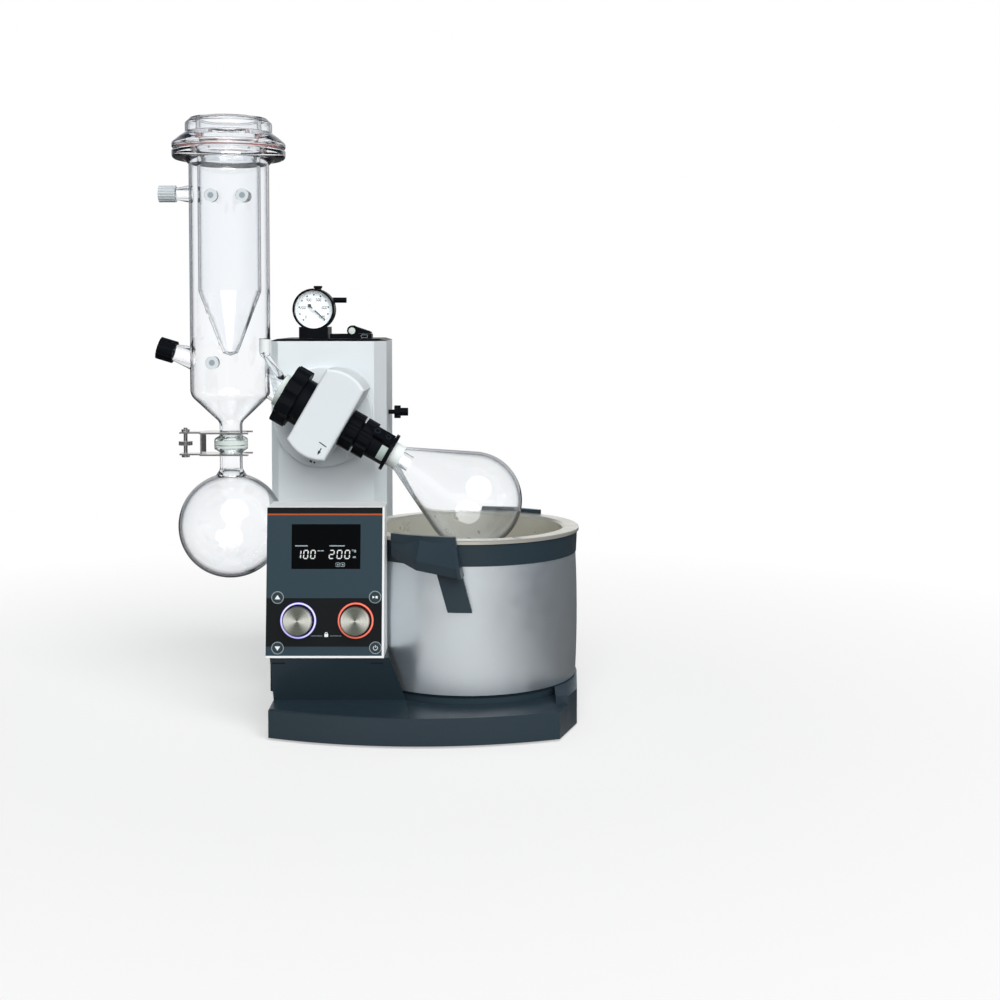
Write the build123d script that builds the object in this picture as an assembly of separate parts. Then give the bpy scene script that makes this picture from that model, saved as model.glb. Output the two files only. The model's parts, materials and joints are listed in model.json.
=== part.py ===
from build123d import *
from math import acos, atan2, cos, radians, sin, sqrt, tan
import os

os.makedirs("parts", exist_ok=True)

# Rotary evaporator, millimetres. X to the right, Y to the back, Z up, bench at Z = 0.
# The rotation axis lies in the plane Y = 0 and falls to the right.

# General clearances and walls
body_gap = 0.3
running_fit = 0.05
cover_wall = 3.0
glass_wall = 2.4

# Base
foot_height = 3.0
foot_radius = 13.0
pan_thickness = 2.0
tray_top = 35.0
wing_top = 45.0
base_left = -101.6
base_rear_left = -132.0
base_back = 190.0
front_middle = (66.0, -190.0)
front_left_y = -155.0
front_right_y = -160.0
right_corner_y = -93.0
flank_end_y = -10.0
rear_step_y = 58.0
wing_front_y = -126.0
pan_screw_head = 3.6
inlet_x = 70.0
inlet_width = 27.4
inlet_height = 21.4
inlet_bottom = 10.3

# Heating bath
bath_x = 129.0
pot_radius = 115.5
bath_radius = pot_radius + 16.5
bath_foot_radius = bath_radius - 3.0
bath_belly_radius = bath_radius + 1.9
bath_ring_bottom = 29.0 + body_gap
bath_shell_bottom = 46.0
bath_shell_top = 198.4
bath_rim_bottom = 224.6
bath_rim_top = 229.0
bath_rim_radius = bath_radius + 4.0
pot_wall = 1.5
pot_floor = 99.0
heater_thickness = 8.0
heater_radius = pot_radius - 11.5
bath_clearance = 3.0
base_right = bath_x + bath_radius + 1.5
recess_right = base_right - 30.5
handle_top = 234.0
handle_start = 6.0
handle_end = 41.0
handle_wall = 4.0
handle_lean = 12.0
handle_reach = 27.0
handle_leg_bottom = 146.0
handle_leg_top = 190.0

# Pedestal and control panel
panel_lean = 7.0
housing_left = -105.0
housing_right = 32.0
housing_front_y = -150.0
housing_back_y = -72.0
housing_bottom = 95.0
housing_top = 268.0
panel_rim = 2.5
panel_thickness = 3.0
pedestal_right_top = 38.8
pedestal_right_foot = 60.0
pedestal_knee = (-121.0, 38.5)
pedestal_back_y = -60.0
pedestal_wall = 8.0
pedestal_side_turn = 7.0
pedestal_front_y = -190.0
knob_radius = 16.8
knob_length = 12.0
knob_x = (-67.5, -0.9)
knob_rise = 43.0
led_ring_radius = 21.0
led_ring_thickness = 0.8
encoder_shaft_radius = 3.0
button_radius = 5.8
button_centres = {
    "lift_up_button": (-91.8, 69.5),
    "lift_down_button": (-91.2, 11.5),
    "start_stop_button": (21.5, 70.0),
    "power_button": (22.2, 11.8),
}
display_left = -76.2
display_right = 4.1
display_low = 102.4
display_high = 154.3
window_depth = 1.4
window_thickness = 1.2
board_thickness = 1.6
board_depth = 9.0
encoder_size = 13.0

# Mast and lift drive inside the tower
mast_left = -106.0
mast_right = -6.0
mast_front = 82.0
mast_back = 170.0
mast_top = 380.0
mast_wall = 4.0
lift_x = -56.0
lift_y = 126.0
lift_motor_size = 42.0
lift_motor_top = 92.0
spindle_radius = 8.0
spindle_top = 330.0
push_tube_radius = 13.0
push_tube_bottom = 180.0
lift_nut_height = 24.0

# Tower covers
tower_left = -130.0
tower_right = 18.0
tower_front = 60.0
tower_split = 150.0
tower_back = 189.5
tower_bottom = 110.0
tower_top = 458.0
tower_chamfer = 10.0
tower_flat_right = 4.0
tower_bevel_depth = 27.0
cap_thickness = 3.0
cap_shoulder = 9.0

# Head: the drive axis passes through head_x, head_z and falls at drive_tilt
swivel_x = -61.8
swivel_z = 360.5
swivel_radius = 64.7
swivel_thickness = 10.0
swivel_shaft_radius = 18.0
axis_offset = 10.0
drive_tilt = 30.0
head_near = -18.5
head_far = 35.0
head_low = -53.0
head_high = 62.5
head_front_y = 40.0
head_back_y = 48.0
head_end_radius = 48.0
head_edge = 4.0

# Hub, belt drive and flask clip, measured along the drive axis
tube_radius = 11.0
tube_wall = 1.8
hub_bore = 11.4
hub_radius = 17.0
bearing_radius = 26.0
bearing_width = 9.0
bearing_starts = (-14.0, 16.0)
motor_offset = 39.6
motor_radius = 13.0
motor_pulley_radius = 8.0
hub_pulley_radius = 24.0
pulley_start = 3.0
pulley_width = 9.0
belt_thickness = 1.5
hub_nut_radius = 25.0
hub_nut_end = 52.5
clip_start = 55.5
clip_radius = 24.7
clip_waist_radius = 19.3
clip_waist_start = 71.0
clip_flange_start = 96.0
clip_end = 100.0
paddle_turn = 45.0
flange_nut_radius = 39.0
flange_nut_start = -52.0
flange_nut_end = -33.0
collar_radius = 30.0
collar_thread_radius = 25.0
glass_flange_radius = 21.0
glass_flange_start = -60.0
glass_flange_end = -53.3
seal_end = -50.5

# Evaporating flask
flask_centre = 219.0
flask_radius = 61.3
flask_neck_radius = 15.5
flask_neck_start = 62.0
flask_neck_end = 112.0
shoulder_round = 20.0

# Cold trap and receiving flask
trap_x = -170.0
trap_radius = 49.5
trap_flange_radius = 70.0
trap_flange_bottom = 684.0
trap_flange_top = 696.5
trap_cone_round = 16.0
trap_cone_top = 392.0
trap_cone_bottom = 358.0
trap_neck_radius = 14.0
joint_z = 329.5
joint_radius = 20.6
finger_flange_top = trap_flange_top + 14.5
finger_top = finger_flange_top + 23.5
finger_cup_radius = 53.5
finger_radius = 38.8
finger_cone_top = 521.0
finger_tip = 441.0
receiver_centre = 228.6
receiver_radius = 65.5
receiver_neck_radius = 14.0
port_radius = 8.0
white_cap_z = 642.0
white_cap_radius = 10.4
white_cap_ends = (-256.8, -235.5)
black_cap_centre = (-249.0, 448.0)
black_cap_radius = 14.0
black_cap_length = 21.0
black_cap_tilt = 17.0

# Fittings on top of the tower
gauge_x = -78.7
gauge_y = 110.0
gauge_z = 499.0
gauge_radius = 27.5
gauge_depth = 24.0
gauge_block_top = 476.0
valve_y = 132.0
valve_radius = 8.0
valve_top = gauge_block_top + 48.5
nozzle_radius = 3.6
nozzle_length = 30.0
nozzle_stop = 4.0
clamp_left = -57.0
clamp_right = -2.4
clamp_top = 467.0
clamp_pivot_x = -28.0
clamp_cam_radius = 7.0
stop_knob_z = 363.0
stop_knob_y = 120.0


def box(x, y, z):
    """A block given by its low and high value on each axis."""
    size = [high - low for low, high in (x, y, z)]
    middle = [(high + low) / 2 for low, high in (x, y, z)]
    return Pos(*middle) * Box(*size)


def area(x, y):
    """A flat rectangle given by its low and high value on both axes."""
    return Pos((x[0] + x[1]) / 2, (y[0] + y[1]) / 2) * Rectangle(x[1] - x[0], y[1] - y[0])


def plate(outline, low, high):
    """A flat outline in the XY plane, raised from low to high."""
    return Pos(0, 0, low) * extrude(outline, high - low)


def polygon(points):
    return make_face(Polyline(*points, close=True))


def soften(face, corners):
    """A flat face with some corners rounded: corners maps a point near each one to its radius."""
    for (x, y), radius in corners.items():
        corner = face.vertices().sort_by_distance((x, y, 0))[0]
        face = fillet(corner, radius)
    return face


def turned(points, corners=None):
    """A closed outline of (radius, height) points, turned about the local Z axis."""
    return revolve(Plane.XZ * soften(polygon(points), corners or {}), Axis.Z)


def turned_edges(edges, corners=None):
    """The same for an outline that has arcs in it."""
    return revolve(Plane.XZ * soften(make_face(edges), corners or {}), Axis.Z)


def ring(inner, outer, low, high):
    return turned([(inner, low), (outer, low), (outer, high), (inner, high)])


def disc(radius, low, high):
    return Pos(0, 0, (low + high) / 2) * Cylinder(radius, high - low)


def around(count, radius, piece, start=0.0):
    """Copies of a piece spaced evenly round the local Z axis."""
    turns = [start + 360 / count * i for i in range(count)]
    return [Rot(0, 0, turn) * Pos(radius, 0, 0) * piece for turn in turns]


def fluted(radius, low, high, count, flute_radius, depth):
    """A cylinder with grip flutes along its side."""
    flute = Pos(0, 0, (low + high) / 2) * Cylinder(flute_radius, high - low + 2)
    return disc(radius, low, high) - around(count, radius + flute_radius - depth, flute)


def save(node, *solids):
    pieces = []
    for solid in solids:
        pieces.extend(solid.solids())
    shape = pieces[0] if len(pieces) == 1 else Compound(children=pieces)
    shape.label = node
    export_step(shape, f"parts/{node}.step")


tilt = radians(drive_tilt)
along_drive = (cos(tilt), 0, -sin(tilt))
across_drive = (sin(tilt), 0, cos(tilt))
head_x = swivel_x + axis_offset * sin(tilt)
head_z = swivel_z + axis_offset * cos(tilt)
drive = Plane(origin=(head_x, 0, head_z), x_dir=across_drive, z_dir=along_drive).location

lean = radians(panel_lean)
panel_normal = (0, -cos(lean), sin(lean))
panel = Plane(origin=(0, housing_front_y, housing_bottom), x_dir=(1, 0, 0), z_dir=panel_normal).location
panel_height = (housing_top - housing_bottom) / cos(lean)

trap = Pos(trap_x, 0, 0)
bath = Pos(bath_x, 0, 0)
bath_column = bath * disc(bath_belly_radius + bath_clearance, 0, 400)


# Base: feet, pan, tray and inlet

def base_outline():
    """Plan of the base: a bowed front, straight sides and a block behind for the mast."""
    front_right = (base_right - 26.9, front_right_y)
    corner = (base_right - 3.8, right_corner_y)
    flank_end = (base_right, flank_end_y)
    shoulder_end = (base_right - 46.5, 118.0)
    front = ThreePointArc((base_left, front_left_y), front_middle, front_right)
    flank = Polyline(front_right, corner, flank_end)
    shoulder = ThreePointArc(flank_end, (base_right - 10.5, 62.0), shoulder_end)
    back = Polyline(shoulder_end, (base_right - 112.5, base_back), (base_rear_left, base_back),
                    (base_rear_left, rear_step_y), (base_left, rear_step_y - 10), (base_left, front_left_y))
    return make_face(front.edges() + flank.edges() + shoulder.edges() + back.edges())


outline = base_outline()
inner_outline = offset(outline, -cover_wall)
pan_bottom = foot_height
pan_top = pan_bottom + pan_thickness
well_radius = bath_foot_radius + bath_clearance
well_floor = bath_ring_bottom - body_gap
mast_foot_top = pan_top + 8.0


def make_base_tray():
    """A hollow tray with a round well for the bath, a raised right wing and a raised deck round the mast."""
    well = Pos(bath_x, 0) * Circle(well_radius)
    side_area = area((recess_right, base_right + 1), (wing_front_y, base_back + 1))
    rear_area = area((base_rear_left - 1, base_right + 1), (rear_step_y, base_back + 1))
    raised = (outline & (side_area + rear_area)) - well
    tray = plate(outline, pan_bottom, tray_top) + plate(raised, tray_top - 1, wing_top)
    tray -= bath * disc(well_radius, well_floor, wing_top + 5)
    hollow = plate(inner_outline, pan_bottom - 1, tray_top - cover_wall)
    hollow -= bath * disc(well_radius + cover_wall, well_floor - cover_wall, tray_top)
    rear_hollow = area((base_rear_left - 1, base_right + 1), (rear_step_y + cover_wall, base_back + 1))
    deck_hollow = (inner_outline & rear_hollow) - Pos(bath_x, 0) * Circle(well_radius + cover_wall)
    tray -= hollow + plate(deck_hollow, tray_top - cover_wall - 1, wing_top - cover_wall)
    mast_hole = box((mast_left - 1, mast_right + 1), (mast_front - 1, mast_back + 1), (0, wing_top + 1))
    inlet_hole = box(inlet_sides(body_gap), (base_back - 10, base_back + 5),
                     (inlet_bottom - body_gap, inlet_bottom + inlet_height + body_gap))
    return tray - mast_hole - inlet_hole


def inlet_sides(extra):
    half = inlet_width / 2 + extra
    return (inlet_x - half, inlet_x + half)


save("base_tray", make_base_tray())

foot_spots = [(base_left + 20, front_left_y + 20), (base_right - 42.5, front_right_y + 25),
              (base_rear_left + 20, base_back - 20), (base_right - 112.5, base_back - 30)]
pan_outline = offset(outline, -cover_wall - 0.2)
pan_screw_spots = [(base_left + 12, -100), (66, -172), (base_right - 14.5, -20), (base_rear_left + 12, 120),
                   (20, base_back - 12)]
screw_radius = 2.0
pan = plate(pan_outline, pan_bottom, pan_top)
for x, y in pan_screw_spots:
    pan -= Pos(x, y, 0) * disc(screw_radius + 0.2, 0, pan_top + 1)
save("rubber_feet", *[Pos(x, y, 0) * disc(foot_radius, 0, foot_height) for x, y in foot_spots])


def pan_screw():
    head = disc(pan_screw_head, pan_bottom - 1.6, pan_bottom)
    return head + disc(screw_radius, pan_bottom, pan_top + 7)


save("base_pan", pan, *[Pos(x, y, 0) * pan_screw() for x, y in pan_screw_spots])

inlet_top = inlet_bottom + inlet_height
inlet_middle = (inlet_bottom + inlet_top) / 2
inlet_body = box(inlet_sides(0), (base_back - 24, base_back), (inlet_bottom, inlet_top))
inlet_mouth = box(inlet_sides(-3.7), (base_back - 16, base_back + 1), (inlet_bottom + 3.2, inlet_top - 3.2))
inlet_pins = [Pos(x, 0, z) * box((inlet_x - 1, inlet_x + 1), (base_back - 17, base_back - 5),
                                 (inlet_middle - 2, inlet_middle + 2))
              for x, z in ((-6, -2), (6, -2), (0, 3))]
save("power_inlet", (inlet_body - inlet_mouth) + inlet_pins)


# Pedestal and panel housing

def pedestal_right_cut():
    """The block right of the pedestal's slanted side, turned so that the side runs back to the left."""
    spread = (pedestal_right_foot - pedestal_right_top) / (housing_bottom - tray_top)
    low = tray_top - 1
    high = housing_bottom + 1
    points = [(pedestal_right_foot + spread, low), (base_right, low), (base_right, high),
              (pedestal_right_top - spread, high)]
    side = extrude(Plane.XZ * polygon(points), housing_back_y - pedestal_front_y + 150, both=True)
    corner = Pos(pedestal_right_foot, housing_front_y, 0)
    return corner * Rot(0, 0, pedestal_side_turn) * corner.inverse() * side


def make_pedestal():
    knee_y, knee_z = pedestal_knee
    side = [(housing_front_y + 2, housing_bottom), (knee_y, knee_z), (pedestal_front_y, tray_top + 0.5),
            (pedestal_front_y, tray_top), (pedestal_back_y, tray_top), (pedestal_back_y, housing_bottom)]
    width = pedestal_right_foot - base_left + 20
    body = Pos(base_left + 0.6, 0, 0) * extrude(Plane.YZ * polygon(side), width)
    front_shape = plate(offset(outline, -1.2), tray_top - 1, housing_bottom + 1)
    body = (body & front_shape) - pedestal_right_cut() - bath_column
    front = pedestal_wall
    hollow_side = [(housing_front_y + 2 + front, housing_bottom + 1), (knee_y + front, knee_z + 6),
                   (knee_y + front, tray_top - 1), (pedestal_back_y - 4, tray_top - 1),
                   (pedestal_back_y - 4, housing_bottom + 1)]
    hollow_width = pedestal_right_top - base_left - 4 * pedestal_wall
    hollow = Pos(base_left + 5, 0, 0) * extrude(Plane.YZ * polygon(hollow_side), hollow_width)
    slots = [box((x - 7.5, x + 7.5), (-152, -141), (86.5, 88.5)) for x in (-91, 23)]
    return body - hollow - slots


save("panel_pedestal", make_pedestal())


def panel_block(x, rise, depth):
    """A block in panel coordinates: across, up the lean, and out of the face."""
    return panel * box(x, rise, depth)


def make_housing():
    side = [(housing_front_y, housing_bottom), (housing_front_y + (housing_top - housing_bottom) * tan(lean),
            housing_top), (housing_back_y, housing_top), (housing_back_y, housing_bottom)]
    block = Pos(housing_left, 0, 0) * extrude(Plane.YZ * polygon(side), housing_right - housing_left)
    edges = block.edges().filter_by(Axis.X).sort_by(Axis.Z)[-1:]
    block = fillet(edges, 6)
    block -= bath_column
    inner_front = housing_front_y + 8
    inner_rise = housing_top - cover_wall - housing_bottom
    inner_top = housing_top - cover_wall
    inner = [(inner_front, housing_bottom - 1), (inner_front + inner_rise * tan(lean), inner_top),
             (housing_back_y - cover_wall, inner_top), (housing_back_y - cover_wall, housing_bottom - 1)]
    hollow = Pos(housing_left + cover_wall, 0, 0) * extrude(
        Plane.YZ * polygon(inner), housing_right - housing_left - 2 * cover_wall)
    hollow -= bath * disc(bath_belly_radius + bath_clearance + cover_wall, 0, 400)
    recess = panel_block((housing_left - 1, housing_right - panel_rim), (panel_rim, panel_height + 5),
                         (-panel_thickness, 5))
    window = panel_block((housing_left + 5, housing_right - 3.4), (4.5, panel_height - 8), (-12, 0))
    return block - hollow - recess - window


save("panel_housing", make_housing())


def make_control_panel():
    face = panel_block((housing_left, housing_right - panel_rim - 0.1), (panel_rim + 0.1, panel_height - 0.6),
                       (-panel_thickness, 0))
    face -= panel_block((display_left, display_right), (display_low, display_high), (-window_depth, 1))
    for x in knob_x:
        face -= panel * Pos(x, knob_rise, 0) * disc(encoder_shaft_radius + 1, -10, 5)
    for x, rise in button_centres.values():
        face -= panel * Pos(x, rise, 0) * disc(button_radius + body_gap, -10, 5)
    return face


save("control_panel", make_control_panel())
window_low = -window_depth
save("display_window", panel_block((display_left + 0.1, display_right - 0.1),
                                   (display_low + 0.1, display_high - 0.1),
                                   (window_low, window_low + window_thickness)))
board = panel_block((housing_left + 8, housing_right - 10), (8, panel_height - 20),
                    (-board_depth, -board_depth + board_thickness))
encoder_low = -board_depth + board_thickness
board_posts = [panel * Pos(x, panel_height * share, 0) * disc(2.5, encoder_low, -panel_thickness)
               for x in (housing_left + 14, housing_right - 16) for share in (0.17, 0.52, 0.86)]
encoders = []
led_rings = []
for side_name, x in zip(("rotation", "heat"), knob_x):
    centre = panel * Pos(x, knob_rise, 0)
    encoder_body = Pos(0, 0, (encoder_low - panel_thickness) / 2) * Box(encoder_size, encoder_size,
                                                                        -panel_thickness - encoder_low)
    encoder = encoder_body + disc(encoder_shaft_radius, -panel_thickness - 1, knob_length - 5)
    encoders.append(centre * encoder)
    led_rings.append(centre * ring(knob_radius + body_gap, led_ring_radius, 0, led_ring_thickness))
    knob = disc(knob_radius, led_ring_thickness + body_gap, knob_length)
    knob = chamfer(knob.edges().sort_by(Axis.Z)[-1], 1.2)
    knob -= disc(encoder_shaft_radius + running_fit, 0, knob_length - 4)
    knob -= ring(encoder_shaft_radius + 3, knob_radius - 2, 0, knob_length - 6)
    save(f"{side_name}_knob", centre * knob)

save("display_board", board + board_posts + encoders)
save("led_rings", *led_rings)

for name, (x, rise) in button_centres.items():
    button = disc(button_radius, -panel_thickness - 2, 0.6)
    save(name, panel * Pos(x, rise, 0) * button)


# Mast, lift motor and spindle

def make_mast():
    outer = box((mast_left, mast_right), (mast_front, mast_back), (mast_foot_top, mast_top))
    inner = box((mast_left + mast_wall, mast_right - mast_wall),
                (mast_front + mast_wall, mast_back - mast_wall), (mast_foot_top - 1, mast_top + 1))
    flange = box((mast_left - 0.5, mast_right + 0.5), (mast_front - 0.5, mast_back + 0.5),
                 (pan_top, mast_foot_top))
    return outer - inner + flange


save("mast", make_mast())
lift_axis = Pos(lift_x, lift_y, 0)
half_motor = lift_motor_size / 2
motor_span = (-half_motor, half_motor)
motor_body = lift_axis * box(motor_span, motor_span, (mast_foot_top, lift_motor_top))
motor_bore = lift_axis * disc(spindle_radius + 1, lift_motor_top - 20, lift_motor_top + 1)
bearing_top = lift_motor_top + 10
bearing = lift_axis * ring(spindle_radius + running_fit, half_motor - 2, lift_motor_top, bearing_top)
save("lift_motor", motor_body - motor_bore + bearing)
save("lift_spindle", lift_axis * disc(spindle_radius, lift_motor_top - 19, spindle_top))


# Tower: covers, cap, carriage and glide pads

def tower_plan(inset):
    left = tower_left + inset
    right = tower_right - inset
    front = tower_front + inset
    back = tower_back - inset
    bevel = tower_chamfer
    points = [(left, front + bevel), (left + bevel, front), (tower_flat_right - inset / 2, front),
              (right, front + tower_bevel_depth), (right, back), (left, back)]
    return polygon(points)


swivel = Pos(swivel_x, 0, swivel_z) * Rot(-90, 0, 0)


def swivel_cylinder(radius, low, high):
    """A cylinder on the head's swivel axis between two Y values."""
    return swivel * disc(radius, low, high)


tower_shell = plate(tower_plan(0), tower_bottom, tower_top) - plate(tower_plan(cover_wall), 0, tower_top + 1)
front_half = box((-300, 300), (0, tower_split), (0, 600))
rear_half = box((-300, 300), (tower_split, 400), (0, 600))
stem_radius = 3.0
stop_axis = Pos(0, stop_knob_y, stop_knob_z) * Rot(0, 90, 0)
front_cover = (tower_shell & front_half) - swivel_cylinder(swivel_shaft_radius + body_gap, 0, 90)
front_cover -= stop_axis * disc(stem_radius + running_fit, 0, 40)
save("tower_rear_cover", tower_shell & rear_half)


def make_cap():
    left, right = tower_left, tower_right
    top = tower_top + cap_thickness
    low = tower_top + 0.5
    points = [(left, tower_top), (right, tower_top), (right, low), (right - cap_shoulder, top),
              (left + cap_shoulder, top), (left, low)]
    block = extrude(Plane.XZ * polygon(points), -tower_back)
    return block & plate(tower_plan(0), tower_top, top)


cap_top = tower_top + cap_thickness

carriage_back = mast_front - 2.0
tower_inner_left = tower_left + cover_wall
tower_inner_right = tower_right - cover_wall
carriage = box((tower_inner_left + 12, tower_inner_right - 14), (tower_front + cover_wall, carriage_back - 6),
               (swivel_z - 60, tower_top))
carriage -= swivel_cylinder(swivel_shaft_radius + running_fit, 0, 90)
push_tube = lift_axis * disc(push_tube_radius, push_tube_bottom, tower_top)
lift_nut_top = push_tube_bottom + lift_nut_height
push_tube -= lift_axis * disc(spindle_radius + running_fit, push_tube_bottom - 1, lift_nut_top)
push_tube -= lift_axis * disc(spindle_radius + 1.5, lift_nut_top, tower_top - 10)
save("push_tube", push_tube)

pad_levels = (tower_bottom + 110, mast_top - 40)
pad_height = 30.0
pads = []
for level in pad_levels:
    span = (level, level + pad_height)
    pads.append(box((tower_inner_left, mast_left - body_gap), (mast_front + 8, mast_back - 28), span))
    pads.append(box((mast_right + body_gap, tower_inner_right), (mast_front + 8, mast_back - 28), span))
stop_slot = box((mast_right, 40), (stop_knob_y - 5, stop_knob_y + 5), (stop_knob_z - 5, stop_knob_z + 5))
save("tower_front_cover", front_cover + [pad - stop_slot for pad in pads])

disc_front = tower_front - swivel_thickness
swivel_plate = swivel_cylinder(swivel_radius, disc_front, tower_front)
swivel_plate = chamfer(swivel_plate.edges().sort_by(Axis.Y)[0], 1.5)
swivel_plate -= swivel_cylinder(swivel_shaft_radius + running_fit, 0, 90)
save("swivel_plate", swivel_plate, carriage)

stop_end = tower_right + 26
stop_knob = disc(stem_radius, mast_right + 2, tower_right + 8)
stop_knob += fluted(9.0, tower_right + 8, tower_right + 16, 6, 5.0, 2.0)
stop_knob += disc(5.3, tower_right + 16, stop_end)
save("stop_knob", stop_axis * stop_knob)


# Fittings on the cap: gauge, valve, hose nozzle and hose clamp
gauge = Pos(gauge_x, gauge_y, gauge_z) * Rot(90, 0, 0)
gauge_front = gauge_depth / 2
gauge_block = box((gauge_x - 19, gauge_x + 19), (gauge_y - gauge_front, valve_y + 12),
                  (cap_top, gauge_block_top))
gauge_block -= gauge * disc(gauge_radius, -gauge_front - 1, gauge_front + 1)
gauge_wall = 2.5
gauge_bore = gauge_radius - gauge_wall
gauge_case = disc(gauge_radius, -gauge_front, gauge_front)
gauge_case -= disc(gauge_bore, -gauge_front + 4, gauge_front + 1)
save("gauge_case", gauge * gauge_case)
dial_low = -gauge_front + 4
pointer_level = dial_low + 5
arbor_radius = 1.2
gauge_dial = disc(gauge_bore, dial_low, dial_low + 3) + disc(arbor_radius, dial_low + 3, pointer_level + 2)
save("gauge_dial", gauge * gauge_dial)
save("gauge_glass", gauge * disc(gauge_bore, gauge_front - 3, gauge_front - 1))
pointer_angle = -42.0
pointer_plan = polygon([(-8, -1.5), (0, -1.0), (20, -0.3), (20, 0.3), (0, 1.0), (-8, 1.5)])
pointer = plate(pointer_plan, pointer_level, pointer_level + 1) + disc(3, pointer_level, pointer_level + 1)
pointer -= disc(arbor_radius + running_fit, pointer_level - 1, pointer_level + 3)
save("gauge_pointer", gauge * Rot(0, 0, pointer_angle) * pointer)

valve = Pos(gauge_x + 2.2, valve_y, 0)
valve_bore = 3.0
vent_knob = disc(valve_bore, valve_top - 11, valve_top + 5)
vent_knob += disc(4.5, valve_top + body_gap, valve_top + 3)
vent_knob += box((-5.5, 5.5), (-2.5, 2.5), (valve_top + 3, valve_top + 6))
save("vent_knob", valve * vent_knob)
nozzle = Pos(gauge_x + 2.2, valve_y, 511.5) * Rot(0, 90, 0)
nozzle_body = disc(nozzle_radius, valve_radius - 0.5, valve_radius + nozzle_length)
nozzle_body += disc(nozzle_radius + 1, valve_radius - 0.5, valve_radius + nozzle_stop)
vacuum_block = gauge_block + valve * disc(valve_radius, gauge_block_top - 5, valve_top) + nozzle * nozzle_body
vacuum_block -= valve * disc(valve_bore + running_fit, valve_top - 12, valve_top + 1)
vacuum_block -= gauge * disc(gauge_radius, -gauge_front - 1, gauge_front)
save("vacuum_block", vacuum_block)

clamp_base = box((clamp_left, clamp_right), (gauge_y - 12, gauge_y + 12), (cap_top, clamp_top))
clamp_floor = cap_top + 2.5
clamp_slot = box((clamp_left + 10, clamp_right - 14), (gauge_y - 9, gauge_y + 9),
                 (clamp_floor, clamp_top + 1))
clamp_pivot_z = clamp_floor + clamp_cam_radius + 2 * body_gap
clamp_pivot_at = Pos(clamp_pivot_x, gauge_y, clamp_pivot_z)
ear = clamp_pivot_at * box((-5, 5), (-12, -9), (clamp_top - clamp_pivot_z, 4))
ears = ear + Pos(0, 21, 0) * ear
lever_axis = clamp_pivot_at * Rot(90, 0, 0)
pin_radius = 2.0
hinge_pin = lever_axis * disc(pin_radius, -12, 12)
save("tower_cap", make_cap() + (clamp_base - clamp_slot) + ears + hinge_pin)
lever_low = clamp_top + body_gap - clamp_pivot_z
lever_end = clamp_right - 1 - clamp_pivot_x
lever_points = [(0, lever_low), (lever_end, lever_low), (lever_end, lever_low + 2),
                (lever_end - 3, lever_low + 3.5), (7, 4.5), (0, clamp_cam_radius)]
lever_arm = disc(clamp_cam_radius, -8.5, 8.5) + plate(polygon(lever_points), -8.5, 8.5)
lever_arm -= disc(pin_radius + running_fit, -10, 10)
save("hose_clamp_lever", lever_axis * lever_arm)


# Head: frame, shells, motor and belt

def head_outline(inset):
    """The head seen from the front: flat flanks across the axis, bowed upper and lower ends."""
    near = head_near + inset
    far = head_far - inset
    low = head_low + inset
    high = head_high - inset
    middle = (near + far) / 2
    bow = head_end_radius - sqrt(head_end_radius ** 2 - ((far - near) / 2) ** 2)
    edges = [
        Line((low + bow, near), (high - bow, near)),
        ThreePointArc((high - bow, near), (high, middle), (high - bow, far)),
        Line((high - bow, far), (low + bow, far)),
        ThreePointArc((low + bow, far), (low, middle), (low + bow, near)),
    ]
    return Plane.XZ * make_face(edges)


swivel_local = Pos(-axis_offset, 0, 0) * Rot(90, 0, 0)
shell_solid = extrude(head_outline(0), -head_front_y) + extrude(head_outline(0), head_back_y)
shell_solid = fillet(shell_solid.faces().sort_by(Axis.Y)[-1].edges(), head_edge)
shell_hollow = extrude(head_outline(cover_wall), -(head_front_y - cover_wall))
shell_hollow += extrude(head_outline(cover_wall), head_back_y - cover_wall)
head_shell = shell_solid - shell_hollow
head_shell -= disc(hub_radius + 2, head_near - 5, head_far + 5)
head_shell -= swivel_local * disc(swivel_shaft_radius + body_gap, 0, 60)
split_y = -20.0
save("head_shell_front", drive * (head_shell & box((-90, 90), (split_y, 90), (-90, 90))))
save("head_shell_back", drive * (head_shell & box((-90, 90), (-90, split_y), (-90, 90))))

frame_plate_starts = (bearing_starts[0] - 1, bearing_starts[1] - 1)
frame_plate_width = bearing_width + 2


def make_drive_frame():
    """Two bearing plates on a back web, with the swivel shaft and its end flange."""
    first_end = frame_plate_starts[0] + frame_plate_width
    second_end = frame_plate_starts[1] + frame_plate_width
    first = box((head_low, head_high), (-head_back_y, 30), (frame_plate_starts[0], first_end))
    second = box((head_low, bearing_radius + 6), (-head_back_y, 30), (frame_plate_starts[1], second_end))
    web = box((head_low, bearing_radius + 6), (-head_back_y, 14 - head_back_y),
              (frame_plate_starts[0], second_end))
    frame = (first + second + web) & shell_hollow
    frame -= disc(hub_radius + 2, -40, 40)
    for start in bearing_starts:
        frame -= disc(bearing_radius, start, start + bearing_width)
    frame -= disc(hub_pulley_radius + 4, pulley_start - 2, pulley_start + pulley_width + 1)
    frame -= Pos(motor_offset, 0, 0) * disc(motor_radius, -40, 40)
    frame += swivel_local * disc(swivel_shaft_radius, 38, carriage_back - 6 + body_gap)
    frame += swivel_local * disc(swivel_shaft_radius + 5, carriage_back - 6 + body_gap, carriage_back - 1)
    return frame


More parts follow.
